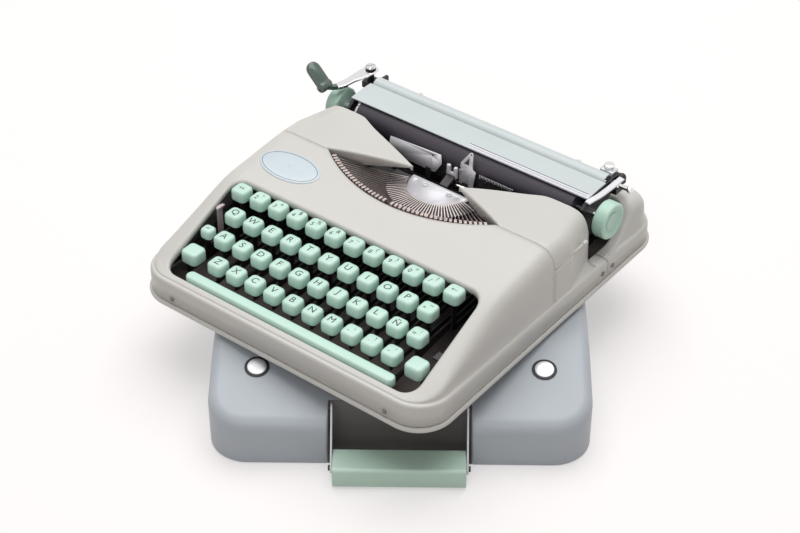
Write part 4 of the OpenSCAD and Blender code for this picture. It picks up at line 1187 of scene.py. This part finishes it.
scale_screws = [moved(placed(screw_head(2.0, 1.0, turn), FACE_FRONT), x, SCALE_Y - 0.1, 51)
                for x, turn in ((30, 0.6), (50, 1.9))]
build("scale_screws", joined(*scale_screws), CHROME, slot="bright_steel")


# Badge: blank oval with a thin dark line inside its edge
def oval(a, b):
    return [(a * cos(t), b * sin(t)) for t in around(72)]


def on_deck(part, x, y):
    """Lays a flat part on the curved deck."""
    points, faces = part
    return [(x + a, y + b, surface_z(x + a, y + b) + c) for a, b, c in points], faces


BADGE_AT = (-94.0, OPEN_BACK + 32)
BADGE_HALF = (28.5, 16)
rounds = [(1, -0.6), (1, 0.45), (0.985, 0.7), (0.95, 0.8), (0.6, 0.8), (0.3, 0.8), (0.02, 0.8)]
badge = skin([[(a * f, b * f, z) for a, b in oval(*BADGE_HALF)] for f, z in rounds], closed=True)
line = skin([[(a, b, z) for a, b in oval(*(half - inset for half in BADGE_HALF))]
             for inset, z in ((1.9, 0.78), (1.9, 0.86), (2.35, 0.86), (2.35, 0.78))], closed=True)
build("badge_oval", on_deck(badge, *BADGE_AT), BADGE, replaces="nameplate")
build("badge_line", on_deck(line, *BADGE_AT), OUTLINE_INK)


# Carriage: paper table with its white strip, roll behind it, strip at the right end, knobs, return lever
TABLE_Z = PLATEN_Z + 16
TABLE_X = (-117.5, 119.5)
TABLE_FRONT = PLATEN_Y - 7
TABLE_BACK = PLATEN_Y + 19
TABLE_CROWN = 1.8


def table_line(y):
    """Height of the paper table, slightly crowned."""
    t = (y - TABLE_FRONT) / (TABLE_BACK - TABLE_FRONT)
    return TABLE_Z + 0.7 + t + TABLE_CROWN * t * (1 - t)


def table_band(y0, y1, x0, x1, lift=0.0, thick=1.1):
    ys = np.linspace(y0, y1, 9)
    top = [(y, table_line(y) + lift) for y in ys]
    return swept_x(top + [(y, z - thick) for y, z in reversed(top)], x0, x1, 12)


build("paper_table_sheet", table_band(TABLE_FRONT, TABLE_BACK, *TABLE_X), TABLE, "paper_table",
      replaces="paper_table", edge=0.35)
strip = table_band(PLATEN_Y - 6.8, PLATEN_Y - 2.2, 2, TABLE_X[1] - 0.4, 0.25, 0.3)
build("table_strip", strip, SCALE_WHITE, "paper_table")
lines = joined(table_band(PLATEN_Y - 2.2, PLATEN_Y - 1.5, 2, TABLE_X[1] - 3, 0.2, 0.3),
               table_band(PLATEN_Y - 4.6, PLATEN_Y - 4.35, 2, TABLE_X[1] - 3, 0.3, 0.2))
build("table_lines", lines, GROOVE, "paper_table")
ROLL_R = 7.4
ROLL_X = 116
ROLL_AT = (PLATEN_Y + 26.4, TABLE_Z - 4)
roll_profile = arc(*ROLL_AT, ROLL_R, 172, -20, 26) + arc(*ROLL_AT, ROLL_R - 1.2, -20, 172, 26)
build("carriage_roll", swept_x(roll_profile, -ROLL_X, ROLL_X), TABLE, "carriage", replaces="carriage_cover",
      crease=50)


def ribbon_strip(path, across, thick):
    """Flat strip along a path, as wide as the vector across to both sides."""
    rings = []
    w, down = Vector(across), Vector((0, 0, thick))
    for q in path:
        q = Vector(q)
        rings.append([tuple(q - w), tuple(q + w), tuple(q + w - down), tuple(q - w - down)])
    return lofted(rings)


arm_path = curve_through([(121.6, 76, 68.8), (123.4, 80.5, 70.3), (125.2, 88, 70.8), (126.2, 104, 71),
                          (126.6, 118, 71.2)])
build("table_arm", ribbon_strip(arm_path, (2.6, -0.4, 0), 1.3), PALE_ALLOY, "carriage", slot="chrome",
      edge=0.35)
RELEASE_X = 122.5
END_Y = PLATEN_Y + 38
DOME_R = 3.6
DOME_Z = 66
STOP_X = 80
stop = block(103.8, 116.3, END_Y - 4.3, END_Y + 4.3, 61.9, 69.4)
build("stop_block", stop, STEEL, "carriage", edge=0.7)
screw_rows = [(1.6, 69.2), (4.1, 69.4), (4.3, 70), (4.3, 72.6), (3.9, 73.2), (2, 73.5), (0.3, 73.5)]
build("stop_screw", turned(screw_rows, 24, 110, END_Y), CHROME, "carriage")
dome_rows = [(DOME_R, DOME_Z - 4), (DOME_R, DOME_Z)]
dome_rows += [(DOME_R * cos(a), DOME_Z + DOME_R * sin(a)) for a in np.linspace(0.2, 1.5, 8)]
build("end_dome", turned(dome_rows, 24, RELEASE_X, END_Y - 0.5), INNER, "carriage")

for side, name in ((-1, "left"), (1, "right")):
    x = side * STOP_X
    catch = joined(block(x - 4, x + 4, END_Y - 4.6, END_Y + 3.8, 55.2, 61),
                   block(x - 1.5, x + 1.5, END_Y + 2, END_Y + 3.6, 60.8, 63))
    build("margin_catch_" + name, catch, STEEL, "margin_stop_" + name, replaces="margin_stop_" + name,
          slot="chrome", edge=0.4)

KNOB_X = 128.5
KNOB_W = 12.0
KNOB_R = 15.0
KNURLS = 48
KNURL_DEPTH = 0.4


def knob_part():
    """Knurled knob about X with a dished face and a raised ring in its middle."""
    rim = np.linspace(1.7, KNOB_W - 1.7, 9)
    rows = [(4.1, 0, 0), (KNOB_R - 2, 0, 0), (KNOB_R - 0.7, 0.5, 0), (KNOB_R - 0.15, 1.3, 0)]
    rows += [(KNOB_R, w, KNURL_DEPTH * (-1) ** k) for k, w in enumerate(rim)]
    face = [(0.15, 1.2), (0.6, 0.5), (1.4, 0.1), (2.4, 0), (3.2, 0.5), (4.4, 1.9), (6.2, 2.6), (7.4, 2.5)]
    rows += [(KNOB_R - shrink, KNOB_W - dip, 0) for shrink, dip in face]
    ring = [(7.2, 1.7), (6.5, 1.5), (5.8, 1.8), (3, 1.9), (0.4, 1.9)]
    rows += [(r, KNOB_W - dip, 0) for r, dip in ring]
    rings = []
    for r, w, swing in rows:
        turns = [(a, r + swing * cos(KNURLS * a)) for a in around(2 * KNURLS)]
        rings.append([(KNOB_X + w, PLATEN_Y + q * cos(a), PLATEN_Z + q * sin(a)) for a, q in turns])
    return lofted(rings)


build("knob_pair", paired(knob_part()), MINT_KNOB, "platen", replaces="platen_knobs", crease=45)

LEVER_PIVOT = (-126.0, PLATEN_Y + 30)
ARM_Z = 75.0
lever_arm = [(-120, 121), (-126, 123.6), (-131.6, 120), (-132.6, 114), (-133.4, 90), (-135.6, 82),
             (-129.5, 78), (-126.6, 84), (-125, 95), (-121, 106), (-119.6, 114)]
build("return_arm", plate(lever_arm, ARM_Z - 2.3, ARM_Z), CHROME, "return_lever", replaces="return_lever",
      edge=0.6)
pin_head = turned([(2.2, 0), (2.2, 0.9), (1.4, 1.4), (0.2, 1.5)], 20)
return_screws = joined(moved(screw_head(4.4, 1.8, 0.9), *LEVER_PIVOT, ARM_Z + 1.8),
                       moved(pin_head, -114.5, 116, 68))
build("return_screws", return_screws, CHROME, "carriage")
FOLD = (-139.5, 75.4)
PADDLE_Y = (65.0, 79.0)
PADDLE_LONG = 23.0


def fold_barrel():
    """Barrel along Y at the foot of the paddle, and the short arm that carries it."""
    rows = [(0.4, 66.6), (2.2, 66.6), (2.5, 66.0), (3.8, 66.0), (4.3, 66.6), (4.4, 68), (4.4, 77),
            (3.9, 77.8), (0.4, 77.8)]
    rings = [[(FOLD[0] + r * cos(a), y, FOLD[1] + r * sin(a)) for a in around(28)] for r, y in rows]
    path = curve_through([(-130.6, 87, 74.4), (-132.4, 81, 74.6), (-135.4, 76, 75), (-139, 72, 75.6)])
    return joined(lofted(rings), ribbon_strip(path, (3.4, 1.0, 0), 3.4))


def paddle():
    """Flat finger plate that stands up to the left, with a round end and soft edges."""
    axis = Vector((-1, 0, 1)).normalized()
    flat = Vector((1, 0, 1)).normalized()
    mid, half = sum(PADDLE_Y) / 2, (PADDLE_Y[1] - PADDLE_Y[0]) / 2
    end = PADDLE_LONG - half
    bow = [(end + half * sin(a), -half * cos(a)) for a in np.linspace(0.15, pi - 0.15, 16)]
    shape = [(0, -half), (end, -half)] + bow + [(end, half), (0, half)]
    rings = []
    for thick, shrink in ((-2.4, 1.4), (-1.9, 0.5), (-1.0, 0.1), (1.0, 0.1), (1.9, 0.5), (2.4, 1.4)):
        ring = []
        for u, v in shape:
            k = 1 - shrink / half
            q = Vector((FOLD[0], mid, FOLD[1])) + axis * (u if u == 0 else u - shrink * 0.5) + flat * thick
            ring.append((q.x, mid + v * k, q.z))
        rings.append(ring)
    return lofted(rings)


build("return_fold", fold_barrel(), LEVER_GREEN, "return_lever", crease=40)
build("return_paddle", paddle(), LEVER_GREEN, "return_lever", crease=60)


# Finishes of the shown CAD nodes
ROW_LEVERS = [row + "_levers" for row in KEY_ROWS]
for material, names in (
        (RUBBER, ["platen", "feed_roller"]),
        (CHROME, ["platen_shaft", "carriage_release_lever"]),
        (INNER, ["main_frame", "carriage_frame", "carriage_ends", "line_scale"]),
        (INNER, ["ribbon_spool_left", "ribbon_spool_right"]),
        (DARK_STEEL, ["key_lever_shaft", "shift_frame", "mainspring_drum", "touch_lever", *ROW_LEVERS]),
        (STEEL, ["ribbon_vibrator", "bell"]),
        (SCREW_STEEL, ["housing_screws"]),
        (HOUSING, ["cover_hinge_pins"]),
        (FELT, ["typebar_rest"]),
        (RIBBON, ["ink_ribbon"]),
        (TAB_PINK, ["colour_selector"])):
    for node in names:
        smoothed(NODES[node].data, material, NODE_CREASE)


# Floor, light and camera
CAMERA_AZIMUTH = radians(37.859)
CAMERA_HEIGHT = radians(38.102)
CAMERA_DISTANCE = 1.5337
CAMERA_TARGET = Vector((-0.0065, 0.00499, 0.05807))
FLOOR_HALF = 3
FLOOR_COLOUR = (0.60, 0.575, 0.565)
GLOW = {"Color": (1, 0.98, 0.985, 1), "Strength": 0.43}
SKY = {"Color": (1, 0.97, 0.95, 1), "Strength": 0.27}
BACKDROP = {"Color": (1, 0.985, 0.985, 1), "Strength": 0.95}
LAMPS = [("overhead", (-0.3, 0.5, 2.2), 2.4, 46), ("front_fill", (0.9, -1.9, 1.6), 1.6, 9)]
LAMP_TARGET = Vector((0, 0, 0.05))


def seen_directly(tree):
    """1 for rays from the camera and for what gloss and glass show, 0 for light that is thrown on."""
    ray = new_node(tree, "LightPath")
    total = ray.outputs["Is Camera Ray"]
    for kind in ("Is Glossy Ray", "Is Transmission Ray"):
        add = new_node(tree, "Math")
        add.operation = "ADD"
        add.use_clamp = True
        tree.links.new(total, add.inputs[0])
        tree.links.new(ray.outputs[kind], add.inputs[1])
        total = add.outputs[0]
    return total


def show_apart(tree, thrown, shown, surface):
    """Gives a surface one look for the light it throws on and another for the camera."""
    pick = new_node(tree, "MixShader")
    for k, socket in enumerate((seen_directly(tree), thrown, shown)):
        tree.links.new(socket, pick.inputs[k])
    tree.links.new(pick.outputs[0], surface)


def paper_floor():
    """Pale floor: near white to the camera, greyer in what it throws back at the object."""
    paper = finish_of("floor_paper", FLOOR_COLOUR, 0.9, cloud=0.002, bump=0.02)
    tree = paper.node_tree
    surface = next(n for n in tree.nodes if n.type == "OUTPUT_MATERIAL").inputs["Surface"]
    bounce = surface.links[0].from_socket
    glow = new_node(tree, "Emission", GLOW)
    both = new_node(tree, "AddShader")
    tree.links.new(bounce, both.inputs[0])
    tree.links.new(glow.outputs[0], both.inputs[1])
    show_apart(tree, bounce, both.outputs[0], surface)
    return paper


def studio():
    """Floor, two soft lamps, a pale surround and the camera."""
    scene = bpy.context.scene
    low = CAD_BOX[0].z
    floor_mesh = bpy.data.meshes.new("floor")
    corners = [(x * FLOOR_HALF, y * FLOOR_HALF, low) for x, y in ((-1, -1), (1, -1), (1, 1), (-1, 1))]
    floor_mesh.from_pydata(corners, [], [(0, 1, 2, 3)])
    floor = linked("floor", floor_mesh)
    floor_mesh.materials.append(paper_floor())
    for name, place, size, power in LAMPS:
        lamp = bpy.data.lights.new(name, "AREA")
        lamp.size = size
        lamp.energy = power
        holder = linked(name, lamp)
        holder.location = place
        holder.rotation_euler = (LAMP_TARGET - Vector(place)).to_track_quat("-Z", "Y").to_euler()
    world = bpy.data.worlds.new("studio")
    world.use_nodes = True
    tree = world.node_tree
    sky = tree.nodes["Background"]
    set_inputs(sky, SKY)
    backdrop = new_node(tree, "Background", BACKDROP)
    show_apart(tree, sky.outputs[0], backdrop.outputs[0], tree.nodes["World Output"].inputs["Surface"])
    scene.world = world
    camera = bpy.data.cameras.new("camera")
    camera.lens = 85.8
    camera.sensor_width = 36
    camera.clip_start = 0.05
    holder = linked("camera", camera)
    level = cos(CAMERA_HEIGHT)
    back = Vector((sin(CAMERA_AZIMUTH) * level, -cos(CAMERA_AZIMUTH) * level, sin(CAMERA_HEIGHT)))
    holder.location = CAMERA_TARGET + CAMERA_DISTANCE * back
    holder.rotation_euler = back.to_track_quat("Z", "Y").to_euler()
    scene.camera = holder
    scene.view_settings.view_transform = "Standard"


studio()
